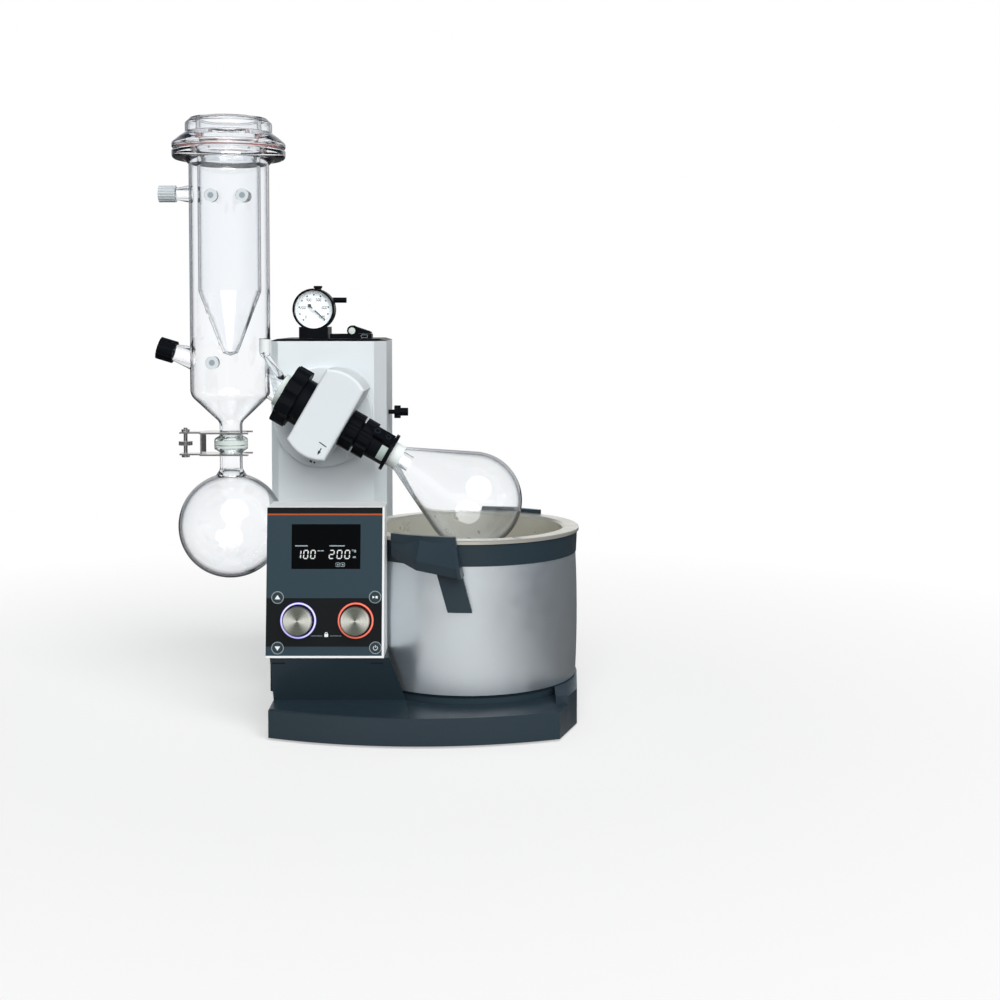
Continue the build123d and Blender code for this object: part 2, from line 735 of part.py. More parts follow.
save("drive_frame", drive * make_drive_frame())
motor_end = frame_plate_starts[0] + frame_plate_width + 4
motor_axis = Pos(motor_offset, 0, 0)
motor_shaft_radius = 2.0
drive_motor = disc(motor_radius, head_near + cover_wall, motor_end)
drive_motor -= disc(motor_shaft_radius + running_fit, motor_end - 8, motor_end + 1)
save("drive_motor", drive * motor_axis * drive_motor)
motor_pulley = disc(motor_pulley_radius, pulley_start, pulley_start + pulley_width)
motor_pulley += disc(motor_shaft_radius, motor_end - 7, pulley_start)
save("motor_pulley", drive * motor_axis * motor_pulley)


def belt_loop(extra):
    """Plan of the belt's loop round both pulleys, grown by extra."""
    large = hub_pulley_radius + extra
    small = motor_pulley_radius + extra
    angle = acos((large - small) / motor_offset)
    touch_large = (large * cos(angle), large * sin(angle))
    touch_small = (motor_offset + small * cos(angle), small * sin(angle))
    mirrored_small = (touch_small[0], -touch_small[1])
    mirrored_large = (touch_large[0], -touch_large[1])
    edges = [
        Line(touch_large, touch_small),
        ThreePointArc(touch_small, (motor_offset + small, 0), mirrored_small),
        Line(mirrored_small, mirrored_large),
        ThreePointArc(mirrored_large, (-large, 0), touch_large),
    ]
    return make_face(edges)


belt = plate(belt_loop(running_fit + belt_thickness) - belt_loop(running_fit),
             pulley_start + 1, pulley_start + pulley_width - 1)
save("drive_belt", drive * belt)
bearings = [ring(hub_radius + running_fit, bearing_radius, start, start + bearing_width)
            for start in bearing_starts]
save("hub_bearings", *[drive * bearing for bearing in bearings])


# Hub, vapour tube, collar, nuts, flask clip
hub_start = -30.0
hub = ring(hub_bore, hub_radius, hub_start, clip_start)
hub += ring(hub_radius - 1, hub_pulley_radius, pulley_start, pulley_start + pulley_width)
save("drive_hub", drive * hub)
hub_nut_start = head_far + 0.5
hub_nut = fluted(hub_nut_radius, hub_nut_start, hub_nut_end, 10, 5.0, 1.8)
hub_nut -= disc(hub_radius, hub_nut_start - 1, hub_nut_end + 1)
save("hub_nut", drive * hub_nut)

cone_start = flask_neck_start + 1
cone_end = 100.0
cone_radii = (14.3, 12.8)
tube_end = 128.0
tube_start = seal_end + body_gap
tube_outline = [(tube_radius - tube_wall, tube_start), (tube_radius, tube_start), (tube_radius, cone_start),
                (cone_radii[0], cone_start), (cone_radii[1], cone_end), (tube_radius - 1, cone_end + 1),
                (tube_radius - 1, tube_end), (tube_radius - tube_wall, tube_end)]
save("vapour_tube", drive * turned(tube_outline))
seal_bore = tube_radius - tube_wall - 1.0
vapour_seal = drive * ring(seal_bore, glass_flange_radius - 1, glass_flange_end, seal_end)
collar = ring(tube_radius + 1.5, collar_thread_radius, seal_end, flange_nut_end)
collar += ring(hub_radius + 2, collar_radius, flange_nut_end + body_gap, head_near)
collar += ring(tube_radius + 1.5, hub_radius + 5, flange_nut_end - 1, hub_start - 0.5)
collar += ring(hub_radius + 2, hub_radius + 5, flange_nut_end - 1, head_near)
save("flange_collar", drive * collar)
flange_nut = fluted(flange_nut_radius, flange_nut_start, flange_nut_end, 8, 14.0, 4.0)
flange_nut -= disc(collar_thread_radius + body_gap, flange_nut_start - 1, flange_nut_end + 1)
save("flange_nut", drive * flange_nut)

clip_bore = flask_neck_radius + 1.6
flask_clip = fluted(clip_radius, clip_start, clip_waist_start, 10, 5.0, 1.8)
flask_clip += disc(clip_waist_radius, clip_waist_start, clip_flange_start)
flask_clip += disc(clip_radius, clip_flange_start, clip_end)
paddle_half = 7.5
paddle_start = 64.0
paddle_end = clip_flange_start - body_gap
paddle_floor = clip_waist_radius - 1.2
paddle = Rot(0, 0, 90 - paddle_turn) * Rot(0, 90, 0)


def paddle_outline(extra):
    """Plan of the release paddle: a straight bar along the axis with a round end towards the hub."""
    half = paddle_half + extra
    start = paddle_start + paddle_half
    bar = area((-paddle_end - extra, -start), (-half, half))
    return bar + Pos(-start, 0) * Circle(half)


saddle = paddle * plate(paddle_outline(0), clip_bore - 1, paddle_floor)
pocket = paddle * plate(paddle_outline(body_gap), paddle_floor, clip_radius + 4)
flask_clip = flask_clip + saddle - pocket
flask_clip -= disc(clip_bore, flask_neck_start - 4, clip_end + 1)
flask_clip -= disc(hub_bore, clip_start - 1, clip_end)
save("flask_clip", drive * flask_clip)
clip_button = plate(paddle_outline(0), clip_waist_radius, clip_radius + 0.8)
clip_button = chamfer(clip_button.faces().sort_by(Axis.Z)[-1].edges(), 0.8)
save("clip_button", drive * paddle * clip_button)


# Evaporating flask

def tangent_point(centre, radius, point):
    """Where the straight cone from a (height, radius) point touches the bulb's circle."""
    run = centre - point[0]
    distance = sqrt(run ** 2 + point[1] ** 2)
    angle = atan2(point[1], -run) - acos(radius / distance)
    return (centre + radius * cos(angle), radius * sin(angle))


def flask_profile(neck_radius, radius, start, shift):
    """Half outline of the pear flask from its mouth to the tip of its bulb."""
    shoulder = (flask_neck_end + shift, neck_radius)
    touch = tangent_point(flask_centre, radius, shoulder)
    angle = atan2(touch[1], touch[0] - flask_centre) / 2
    middle = (radius * sin(angle), flask_centre + radius * cos(angle))
    end = (0, flask_centre + radius)
    return [
        Line((0, start), (neck_radius, start)),
        Line((neck_radius, start), (neck_radius, shoulder[0])),
        Line((neck_radius, shoulder[0]), (touch[1], touch[0])),
        ThreePointArc((touch[1], touch[0]), middle, end),
        Line(end, (0, start)),
    ]


flask_bore = 12.9
flask_outer = turned_edges(flask_profile(flask_neck_radius, flask_radius, flask_neck_start, 0),
                           {(flask_neck_radius, flask_neck_end): shoulder_round})
flask_inner = turned_edges(flask_profile(flask_bore, flask_radius - glass_wall, flask_neck_start - 1, 1),
                           {(flask_bore, flask_neck_end + 1): shoulder_round + glass_wall})
flask_bead = ring(flask_neck_radius - 1, flask_neck_radius + 1.2, flask_neck_start, flask_neck_start + 4)
ground_socket = turned([(0, flask_neck_start - 1), (cone_radii[0], flask_neck_start - 1),
                        (cone_radii[0], cone_start), (cone_radii[1], cone_end), (0, cone_end)])
save("evaporating_flask", drive * (flask_outer + flask_bead - flask_inner - ground_socket))


# Cold trap, cold finger, caps and receiving flask
neck_radius = 18.0
neck_base = -125.0
white_cap_axis = Pos(0, 0, white_cap_z) * Rot(0, -90, 0)
black_inner = black_cap_length / 2
black_offset = black_cap_centre[0] - trap_x
black_cap_axis = Pos(black_offset, 0, black_cap_centre[1]) * Rot(0, -90 + black_cap_tilt, 0)
thread_radius_white = white_cap_radius - 3.0
thread_radius_black = black_cap_radius - 3.5
white_inner_end = -(white_cap_ends[1] - trap_x)
white_outer_end = -(white_cap_ends[0] - trap_x)
front_ports = [(-12.0, 636.0), (26.0, 636.0), (-12.0, 434.0)]
port_reach = 58.0
vent_stub_at = (48.5, -34.0)
vent_stub_radius = 6.7
vent_stub_low = 446.0
vent_stub_top = 463.0


def trap_glass(inset):
    """The trap's turned glass from the ball joint to the flange, or its hollow where there is an inset."""
    low = joint_z + 0.4
    cup = joint_radius if inset == 0 else trap_neck_radius - glass_wall
    throat = joint_z + 8 if inset == 0 else low + 3
    radius = trap_radius - inset
    neck = trap_neck_radius - inset
    points = [(0, low), (cup, low), (cup, throat), (neck, throat + 4), (neck, trap_cone_bottom),
              (radius, trap_cone_top), (radius, trap_flange_top), (0, trap_flange_top)]
    corners = {(radius, trap_cone_top): trap_cone_round - inset,
               (neck, trap_cone_bottom): trap_cone_round / 2 + inset}
    if inset == 0:
        corners[(cup, throat)] = 3.0
        corners[(neck, throat + 4)] = 3.0
    return turned(points, corners)


def make_trap():
    outer = trap_glass(0)
    flange = [(trap_radius - 1, trap_flange_bottom - 6), (trap_radius, trap_flange_bottom - 6),
              (trap_radius + 6, trap_flange_bottom), (trap_flange_radius, trap_flange_bottom),
              (trap_flange_radius, trap_flange_top), (trap_radius - 1, trap_flange_top)]
    outer += turned(flange, {(trap_flange_radius, trap_flange_bottom): 5.5,
                             (trap_flange_radius, trap_flange_top): 3.0})
    local_drive = trap.inverse() * drive
    outer += local_drive * disc(neck_radius, neck_base, glass_flange_end - 3)
    outer += local_drive * disc(glass_flange_radius, glass_flange_start, glass_flange_end)
    neck_glass = turned([(0, trap_radius - 6), (12, trap_radius - 6), (thread_radius_white, white_inner_end),
                         (thread_radius_white, white_outer_end - 4), (0, white_outer_end - 4)])
    outer += white_cap_axis * neck_glass
    black_reach = black_inner - 5
    black_glass = turned([(0, -36), (15, -36), (thread_radius_black, -black_inner),
                          (thread_radius_black, black_reach), (0, black_reach)])
    outer += black_cap_axis * black_glass
    for x, z in front_ports:
        outer += Pos(x, 0, z) * Rot(90, 0, 0) * disc(port_radius, trap_radius * 0.75, port_reach)
    stub = Pos(*vent_stub_at, 0)
    outer += stub * (disc(vent_stub_radius, vent_stub_low, vent_stub_top)
                     + Pos(0, 0, vent_stub_low) * Sphere(vent_stub_radius))
    arm_path = Line((*vent_stub_at, vent_stub_low - 2), (66, -8, 412))
    arm_plane = Plane(origin=arm_path @ 0, z_dir=arm_path % 0)
    outer += extrude(arm_plane * Circle(4.5), arm_path.length)
    inner = trap_glass(glass_wall)
    inner += local_drive * disc(neck_radius - glass_wall, neck_base, glass_flange_end + 1)
    inner += white_cap_axis * disc(thread_radius_white - 2, trap_radius - 12, white_outer_end)
    inner += black_cap_axis * disc(thread_radius_black - 2, -42, black_inner)
    for x, z in front_ports:
        inner += Pos(x, 0, z) * Rot(90, 0, 0) * disc(port_radius - 2.2, trap_radius * 0.6, port_reach - 2.5)
    inner += stub * disc(vent_stub_radius - 2, vent_stub_low + 4, vent_stub_top + 1)
    inner += Pos(0, 0, trap_flange_top - 1) * disc(trap_radius - glass_wall, 0, 2)
    return trap * (outer - inner)


save("trap_body", make_trap())
seal_top = trap_flange_top + 1.2
trap_seal = trap * ring(trap_radius + 2, trap_flange_radius - 5, trap_flange_top, seal_top)
save("glass_seals", vapour_seal, trap_seal)


def make_cold_finger():
    """An open glass cup with a turned-in mouth, a long finger and a flange to sit on the trap."""
    low = seal_top + body_gap
    wall = glass_wall
    neck = trap_radius - glass_wall - 1.5
    outline_points = [
        (0, finger_tip), (9, finger_tip + 3), (14, finger_tip + 15), (finger_radius, finger_cone_top),
        (finger_radius, low - 4), (neck, low), (trap_flange_radius, low), (trap_flange_radius, low + 6),
        (trap_flange_radius - 8, finger_flange_top), (finger_cup_radius, finger_flange_top + 6),
        (finger_cup_radius, finger_top - 6), (finger_cup_radius - 6, finger_top),
        (finger_radius - wall + 2, finger_top), (finger_radius - wall, finger_top - 3),
        (finger_radius - wall, finger_cone_top + 1), (14 - wall, finger_tip + 16),
        (9 - wall, finger_tip + 3 + wall), (0, finger_tip + wall),
    ]
    corners = {(14, finger_tip + 15): 8.0, (finger_radius, finger_cone_top): 12.0,
               (trap_flange_radius, low): 2.0, (trap_flange_radius, low + 6): 4.0,
               (finger_cup_radius, finger_flange_top + 6): 2.5, (finger_cup_radius, finger_top - 6): 3.0}
    cup = turned(outline_points, corners)
    void = turned([(finger_radius + 1.5, low + 8), (finger_cup_radius - wall - 3, low + 8),
                   (finger_cup_radius - wall, finger_flange_top + 6),
                   (finger_cup_radius - wall, finger_top - 6.5),
                   (finger_cup_radius - 6.5, finger_top - wall), (finger_radius + 1.5, finger_top - wall)])
    return trap * (cup - void)


save("cold_finger", make_cold_finger())


def screw_cap(radius, bore, low, high, flutes):
    cap = fluted(radius, low, high, flutes, 1.4, 0.7)
    cap = cap - disc(bore + body_gap, low - 1, high - 3)
    return cap


save("white_cap", trap * white_cap_axis * screw_cap(white_cap_radius, thread_radius_white,
                                                    white_inner_end + body_gap, white_outer_end, 18))
save("black_cap", trap * black_cap_axis * screw_cap(black_cap_radius, thread_radius_black,
                                                    -black_inner + body_gap, black_inner, 16))


def make_receiver():
    shoulder_rise = sqrt(receiver_radius ** 2 - receiver_neck_radius ** 2)
    inner_radius = receiver_radius - glass_wall
    inner_neck = receiver_neck_radius - glass_wall
    inner_rise = sqrt(inner_radius ** 2 - inner_neck ** 2)
    neck_top = joint_z - 9
    neck_low = receiver_centre + shoulder_rise
    neck_points = [(0, neck_low - 9), (receiver_neck_radius + 6, neck_low - 3),
                   (receiver_neck_radius, neck_low + 7), (receiver_neck_radius, neck_top),
                   (joint_radius, neck_top + 4), (joint_radius, joint_z), (0, joint_z)]
    outer = Pos(0, 0, receiver_centre) * Sphere(receiver_radius)
    outer += turned(neck_points, {neck_points[2]: 8.0, neck_points[3]: 3.0, neck_points[4]: 2.0})
    inner = Pos(0, 0, receiver_centre) * Sphere(inner_radius)
    inner += disc(inner_neck, receiver_centre + inner_rise - 4, joint_z + 1)
    glass = outer - inner
    reach = receiver_radius + 1
    quarter = box((0, reach), (0, reach), (receiver_centre - reach, joint_z + 1))
    return [trap * (glass & Rot(0, 0, 45 + 90 * turn) * quarter) for turn in range(4)]


save("receiving_flask", *make_receiver())


# Ball joint clamp: two forks on a hinge plate, drawn together by a screw
fork_levels = {"upper": joint_z + 14.5, "lower": joint_z - 12.5}
fork_thickness = 2.0
hinge_x = -34.0
screw_x = -57.0
fork_tip = 24.0


def fork(level):
    """A flat fork that reaches round the glass neck from the left."""
    arm = box((screw_x - 6, fork_tip), (-19, 19), (level, level + fork_thickness))
    slot = disc(trap_neck_radius + 0.6, level - 1, level + 5)
    slot += box((0, 40), (-trap_neck_radius - 0.6, trap_neck_radius + 0.6), (level - 1, level + 5))
    narrow = box((screw_x - 10, hinge_x - 2), (-30, -9), (level - 1, level + 5))
    narrow += box((screw_x - 10, hinge_x - 2), (9, 30), (level - 1, level + 5))
    return arm - slot - narrow - Pos(screw_x, 0, 0) * disc(2.6, level - 1, level + 5)


clamp_low = fork_levels["lower"]
clamp_high = fork_levels["upper"] + fork_thickness
ball_clamp = fork(fork_levels["upper"]) + fork(fork_levels["lower"])
ball_clamp += box((hinge_x - 2, hinge_x), (-14, 14), (clamp_low, clamp_high))
clamp_screw = disc(2.4, clamp_low - 3, clamp_high + 5) + disc(5, clamp_high, clamp_high + 3)
clamp_screw += disc(5, clamp_low - 3, clamp_low)
save("ball_clamp", trap * ball_clamp, trap * Pos(screw_x, 0, 0) * clamp_screw)
nut_middle = (clamp_low + clamp_high) / 2
clamp_nut = fluted(8.5, nut_middle - 2.5, nut_middle + 2.5, 20, 1.0, 0.5)
clamp_nut -= disc(2.4 + running_fit, nut_middle - 4, nut_middle + 4)
save("clamp_nut", trap * Pos(screw_x, 0, 0) * clamp_nut)


# Heating bath

def make_pot():
    lip = 3.0
    points = [(0, pot_floor - pot_wall), (pot_radius + pot_wall, pot_floor - pot_wall),
              (pot_radius + pot_wall, bath_rim_bottom), (bath_rim_radius, bath_rim_bottom),
              (bath_rim_radius, bath_rim_top - 1), (bath_rim_radius - 1, bath_rim_top),
              (pot_radius + lip, bath_rim_top), (pot_radius, bath_rim_top - lip), (pot_radius, pot_floor),
              (0, pot_floor)]
    return bath * turned(points)


heater_low = pot_floor - pot_wall - heater_thickness
save("bath_pot", make_pot() + bath * disc(heater_radius, heater_low, pot_floor - pot_wall))
shell_middle = (bath_shell_bottom + bath_shell_top) / 2
shell_wall = 2.0
shell_edges = [
    ThreePointArc((bath_radius, bath_shell_bottom), (bath_belly_radius, shell_middle),
                  (bath_radius, bath_shell_top)),
    Line((bath_radius, bath_shell_top), (bath_radius - shell_wall, bath_shell_top)),
    ThreePointArc((bath_radius - shell_wall, bath_shell_top), (bath_belly_radius - shell_wall, shell_middle),
                  (bath_radius - shell_wall, bath_shell_bottom)),
    Line((bath_radius - shell_wall, bath_shell_bottom), (bath_radius, bath_shell_bottom)),
]
save("bath_shell", bath * turned_edges(shell_edges))
collar_outline = [(pot_radius + pot_wall, bath_shell_top), (bath_radius + 0.8, bath_shell_top),
                  (bath_radius + 2.0, bath_rim_bottom), (pot_radius + pot_wall, bath_rim_bottom)]
collar_hollow = ring(pot_radius + pot_wall + 4, bath_radius - 4, bath_shell_top - 1, bath_rim_bottom - 4)
save("bath_collar", bath * (turned(collar_outline) - collar_hollow))
foot_points = [(0, bath_ring_bottom), (bath_foot_radius - 2, bath_ring_bottom),
               (bath_foot_radius, bath_ring_bottom + 2), (bath_foot_radius, bath_shell_bottom - 4),
               (bath_radius - 0.5, bath_shell_bottom), (heater_radius, bath_shell_bottom),
               (heater_radius, heater_low), (heater_radius - 8, heater_low),
               (heater_radius - 8, bath_ring_bottom + 4), (0, bath_ring_bottom + 4)]
save("bath_foot", bath * turned(foot_points))


def handle_plane(angle, lean=0.0):
    """A plane through the bath's axis, at an angle left of the front, with a sideways lean."""
    top = Pos(0, 0, handle_top)
    return Rot(0, 0, -90 - angle) * top * Rot(lean, 0, 0) * top.inverse()


def handle_section(angle, lip_radius, lip_z, low, lean=0.0):
    """Hook-shaped section of the handle in one of those planes."""
    skin = bath_radius + 2.0
    points = [(skin, handle_top), (skin + 4, handle_top), (lip_radius, lip_z), (lip_radius - 0.5, low),
              (lip_radius - handle_wall, low), (lip_radius - handle_wall, lip_z - 2),
              (skin + 4, handle_top - 8), (skin, handle_top - 8)]
    return handle_plane(angle, lean) * (Plane.XZ * polygon(points))


def make_handle():
    sections = [
        handle_section(handle_end, bath_radius + 7.5, 216, 206),
        handle_section((handle_start + handle_end) / 2, bath_radius + 19.0, 206, 195),
        handle_section(handle_start, bath_radius + handle_reach, 199, 187, handle_lean),
    ]
    wing = loft(sections, ruled=True)
    skin = bath_radius + 2.0
    rim = Rot(0, 0, -90 - handle_end) * extrude_arc(skin, skin + 6, handle_top - 10, handle_top,
                                                    handle_end - handle_start)
    cheek_points = [(skin, handle_top), (skin + 4, handle_top), (bath_radius + handle_reach, 199),
                    (bath_radius + handle_reach, 187), (bath_belly_radius + 0.6, 187)]
    cheek = handle_plane(handle_start, handle_lean) * extrude(Plane.XZ * polygon(cheek_points), handle_wall)
    leg_points = [(-43.0, handle_leg_top + 14), (-16.5, handle_top - 6), (-5.3, handle_leg_top - 4),
                  (5.2, handle_leg_bottom), (-23.4, handle_leg_bottom), (-36.0, handle_leg_top)]
    leg = extrude(Plane.XZ * polygon(leg_points), bath_radius + 90)
    leg_skin = ring(bath_belly_radius + 0.4, bath_belly_radius + 9, handle_leg_bottom - 10, handle_top)
    return wing + rim + cheek + (leg & leg_skin) - disc(bath_rim_radius, bath_rim_bottom, bath_rim_top)


def extrude_arc(inner, outer, low, high, sweep):
    """A ring segment that starts at the local X axis and turns by sweep degrees."""
    section = polygon([(inner, low), (outer, low), (outer, high), (inner, high)])
    return revolve(Plane.XZ * section, Axis.Z, sweep)


handle = make_handle()
save("bath_handles", bath * handle, bath * Rot(0, 0, 180) * handle)
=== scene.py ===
import json
from math import acos, asin, cos, degrees, pi, radians, sin, tan

import bmesh
import bpy
from mathutils import Matrix, Vector
from mathutils.geometry import tessellate_polygon


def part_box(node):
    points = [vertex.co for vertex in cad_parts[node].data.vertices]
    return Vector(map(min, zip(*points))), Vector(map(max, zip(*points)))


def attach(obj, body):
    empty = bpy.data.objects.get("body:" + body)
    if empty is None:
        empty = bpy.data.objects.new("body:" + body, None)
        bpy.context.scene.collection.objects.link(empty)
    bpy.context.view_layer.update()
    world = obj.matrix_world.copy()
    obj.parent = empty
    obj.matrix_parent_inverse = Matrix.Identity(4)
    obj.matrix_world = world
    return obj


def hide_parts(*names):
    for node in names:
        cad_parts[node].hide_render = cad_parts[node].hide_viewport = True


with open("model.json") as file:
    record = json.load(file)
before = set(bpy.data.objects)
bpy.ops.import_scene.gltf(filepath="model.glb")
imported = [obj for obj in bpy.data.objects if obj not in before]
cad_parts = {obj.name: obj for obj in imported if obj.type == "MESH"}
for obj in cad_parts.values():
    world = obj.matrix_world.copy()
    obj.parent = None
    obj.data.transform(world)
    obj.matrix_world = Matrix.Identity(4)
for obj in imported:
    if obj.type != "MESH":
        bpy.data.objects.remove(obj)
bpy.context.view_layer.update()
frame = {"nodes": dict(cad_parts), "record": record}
nodes = frame["nodes"]
scene = bpy.context.scene
MM = 0.001


# Shader helpers

WHITE = (1, 1, 1, 1)


def grey(level):
    return (level, level, level, 1)


def srgb(red, green, blue):
    """A colour as read from a photograph, 0 to 255, as linear light."""
    values = [v / 255 for v in (red, green, blue)]
    return tuple(v / 12.92 if v <= 0.04045 else ((v + 0.055) / 1.055) ** 2.4 for v in values) + (1.0,)


def shade(colour, factor):
    return tuple(v * factor for v in colour[:3]) + (1.0,)


def add_node(tree, kind, **values):
    """A shader node with values for its sockets, whose names have _ for a space."""
    node = tree.nodes.new("ShaderNode" + kind)
    for name, value in values.items():
        node.inputs[name.replace("_", " ")].default_value = value
    return node


def feed(tree, value, socket):
    """Links a socket to another node's output, or sets it to a plain value."""
    if isinstance(value, bpy.types.NodeSocket):
        tree.links.new(value, socket)
    else:
        socket.default_value = value


def calculate(tree, operation, first, second=None):
    """One step of arithmetic in a shader, on sockets or plain numbers."""
    node = add_node(tree, "Math")
    node.operation = operation
    feed(tree, first, node.inputs[0])
    if second is not None:
        feed(tree, second, node.inputs[1])
    return node.outputs[0]


def vector_step(tree, operation, vector):
    """One step of vector arithmetic in a shader."""
    node = add_node(tree, "VectorMath")
    node.operation = operation
    tree.links.new(vector, node.inputs[0])
    return node


def separate(tree, vector):
    node = add_node(tree, "SeparateXYZ")
    tree.links.new(vector, node.inputs[0])
    return node.outputs


def between(tree, factor, low, high, from_low=0.3, from_high=0.7):
    """Maps a value that goes from from_low to from_high onto low to high, and holds it there beyond."""
    ramp = add_node(tree, "MapRange", From_Min=from_low, From_Max=from_high, To_Min=low, To_Max=high)
    tree.links.new(factor, ramp.inputs["Value"])
    return ramp.outputs["Result"]


def mix_colours(tree, factor, low, high):
    mix = add_node(tree, "Mix")
    mix.data_type = "RGBA"
    for value, socket in ((factor, 0), (low, 6), (high, 7)):
        feed(tree, value, mix.inputs[socket])
    return mix.outputs[2]


def mix_shaders(tree, factor, first, second):
    mix = add_node(tree, "MixShader")
    for value, socket in zip((factor, first.outputs[0], second.outputs[0]), mix.inputs):
        tree.links.new(value, socket)
    return mix


def object_place(tree):
    return add_node(tree, "TexCoord").outputs["Object"]


def noise(tree, scale, detail=3.0, stretch=(1, 1, 1)):
    mapping = add_node(tree, "Mapping", Scale=stretch)
    tree.links.new(object_place(tree), mapping.inputs["Vector"])
    texture = add_node(tree, "TexNoise", Scale=scale, Detail=detail)
    tree.links.new(mapping.outputs["Vector"], texture.inputs["Vector"])
    return texture.outputs["Fac"]


def noise_along(tree, value):
    """Noise along a single number."""
    texture = add_node(tree, "TexNoise")
    texture.noise_dimensions = "1D"
    texture.inputs["Scale"].default_value = 1.0
    texture.inputs["Detail"].default_value = 2.0
    tree.links.new(value, texture.inputs["W"])
    return texture.outputs["Fac"]


def add_bump(tree, bsdf, height, strength, distance):
    bump = add_node(tree, "Bump", Strength=strength, Distance=distance)
    tree.links.new(height, bump.inputs["Height"])
    tree.links.new(bump.outputs["Normal"], bsdf.inputs["Normal"])


# Camera, fitted to the photograph

PHOTO_SIZE = 1000
PHOTO_FOCAL = 1479.0
CAMERA_PLACE = (0.1665, -1.8461, 0.4923)
CAMERA_PITCH = radians(2.534)
CAMERA_SHIFT = -0.12
SENSOR = 36.0
VIEW_REACH = 50


def make_camera():
    data = bpy.data.cameras.new("camera")
    data.sensor_width = SENSOR
    data.lens = SENSOR * PHOTO_FOCAL / PHOTO_SIZE
    data.shift_y = CAMERA_SHIFT
    data.clip_end = VIEW_REACH
    camera = bpy.data.objects.new("camera", data)
    camera.location = CAMERA_PLACE
    camera.rotation_euler = (pi / 2 - CAMERA_PITCH, 0, 0)
    scene.collection.objects.link(camera)
    scene.camera = camera


# World, floor and lamps

AMBIENT, SKY_COLOUR = 0.15, (0.93, 0.96, 1.0, 1)
SIDE_LEVEL, SIDE_TINT = 0.18, (0.5, 0.7, 1.0, 1)
CEILING_LEVEL, CEILING_RISE = 0.6, (0.3, 0.75)
BEHIND_FADE = (0.72, 0.88)
FRONT_LEVEL, FRONT_FADE = 1.0, (-0.75, -0.25)
THROUGH_LEVEL = 0.85


def make_world():
    """An even light. The camera sees white, and so does glass, nearly. Shiny parts see white behind and in
    front of the machine, and less to its sides and above."""
    world = bpy.data.worlds.new("studio")
    scene.world = world
    world.use_nodes = True
    tree = world.node_tree
    tree.nodes.clear()
    direction = separate(tree, add_node(tree, "TexCoord").outputs["Generated"])
    height = between(tree, direction["Z"], 1.0, CEILING_LEVEL, *CEILING_RISE)
    behind = between(tree, direction["Y"], SIDE_LEVEL, 1.0, *BEHIND_FADE)
    before = between(tree, direction["Y"], FRONT_LEVEL, SIDE_LEVEL, *FRONT_FADE)
    around = calculate(tree, "MULTIPLY", calculate(tree, "MAXIMUM", behind, before), height)
    path = add_node(tree, "LightPath").outputs
    through = calculate(tree, "MULTIPLY", path["Is Transmission Ray"], THROUGH_LEVEL)
    level = calculate(tree, "MAXIMUM", around, through)
    level = calculate(tree, "MAXIMUM", path["Is Camera Ray"], level)
    seen = add_node(tree, "Background")
    tree.links.new(level, seen.inputs["Strength"])
    tree.links.new(mix_colours(tree, level, SIDE_TINT, WHITE), seen.inputs["Color"])
    looked_at = calculate(tree, "MAXIMUM", path["Is Camera Ray"], path["Is Glossy Ray"])
    looked_at = calculate(tree, "MAXIMUM", looked_at, path["Is Transmission Ray"])
    lamp = add_node(tree, "Background", Color=SKY_COLOUR, Strength=AMBIENT)
    shown = mix_shaders(tree, looked_at, lamp, seen)
    tree.links.new(shown.outputs[0], add_node(tree, "OutputWorld").inputs["Surface"])


FLOOR_SIZE = 20.0
FLOOR_PALE, FLOOR_DULL = 0.96, 0.42
FLOOR_GLOW, FLOOR_FADE = 0.45, (0.45, 1.3)
FLOOR_FRONT, FLOOR_SIDES = 0.7, 0.1
STRIP_SIDE, STRIP_START = (0.25, 0.7), (0.0, 0.3)


def make_floor():
    """Pale floor that keeps the shadow and turns white further out. It throws back less light than it shows,
    and shiny parts see it as a bright strip in front of the machine, dark to its sides."""
    mesh = bpy.data.meshes.new("floor")
    corners = [(FLOOR_SIZE * x, FLOOR_SIZE * y, 0) for x, y in ((-1, -1), (1, -1), (1, 1), (-1, 1))]
    mesh.from_pydata(corners, [], [(0, 1, 2, 3)])
    floor = bpy.data.objects.new("floor", mesh)
    scene.collection.objects.link(floor)
    mat = bpy.data.materials.new("floor")
    mat.use_nodes = True
    tree = mat.node_tree
    tree.nodes.clear()
    place = object_place(tree)
    axes = separate(tree, place)
    aside = between(tree, calculate(tree, "ABSOLUTE", axes["X"]), 1.0, 0.0, *STRIP_SIDE)
    forward = between(tree, calculate(tree, "MULTIPLY", axes["Y"], -1.0), 0.0, 1.0, *STRIP_START)
    strip = calculate(tree, "MULTIPLY", aside, forward)
    mirrored = mix_colours(tree, strip, grey(FLOOR_SIDES), grey(FLOOR_FRONT))
    path = add_node(tree, "LightPath").outputs
    dull = add_node(tree, "BsdfDiffuse")
    dull_colour = mix_colours(tree, path["Is Glossy Ray"], grey(FLOOR_DULL), mirrored)
    tree.links.new(dull_colour, dull.inputs["Color"])
    distance = vector_step(tree, "LENGTH", place).outputs["Value"]
    fade = between(tree, distance, FLOOR_GLOW, 1.0, *FLOOR_FADE)
    pale = add_node(tree, "BsdfDiffuse", Color=grey(FLOOR_PALE))
    bright = mix_shaders(tree, fade, pale, add_node(tree, "Emission"))
    direct = calculate(tree, "MAXIMUM", path["Is Camera Ray"], path["Is Transmission Ray"])
    shown = mix_shaders(tree, direct, dull, bright)
    tree.links.new(shown.outputs[0], add_node(tree, "OutputMaterial").inputs["Surface"])
    mesh.materials.append(mat)


def add_light(name, kind, direction, energy):
    light = bpy.data.objects.new(name, bpy.data.lights.new(name, kind))
    light.data.energy = energy
    light.rotation_euler = Vector(direction).to_track_quat("-Z", "Y").to_euler()
    scene.collection.objects.link(light)
    return light


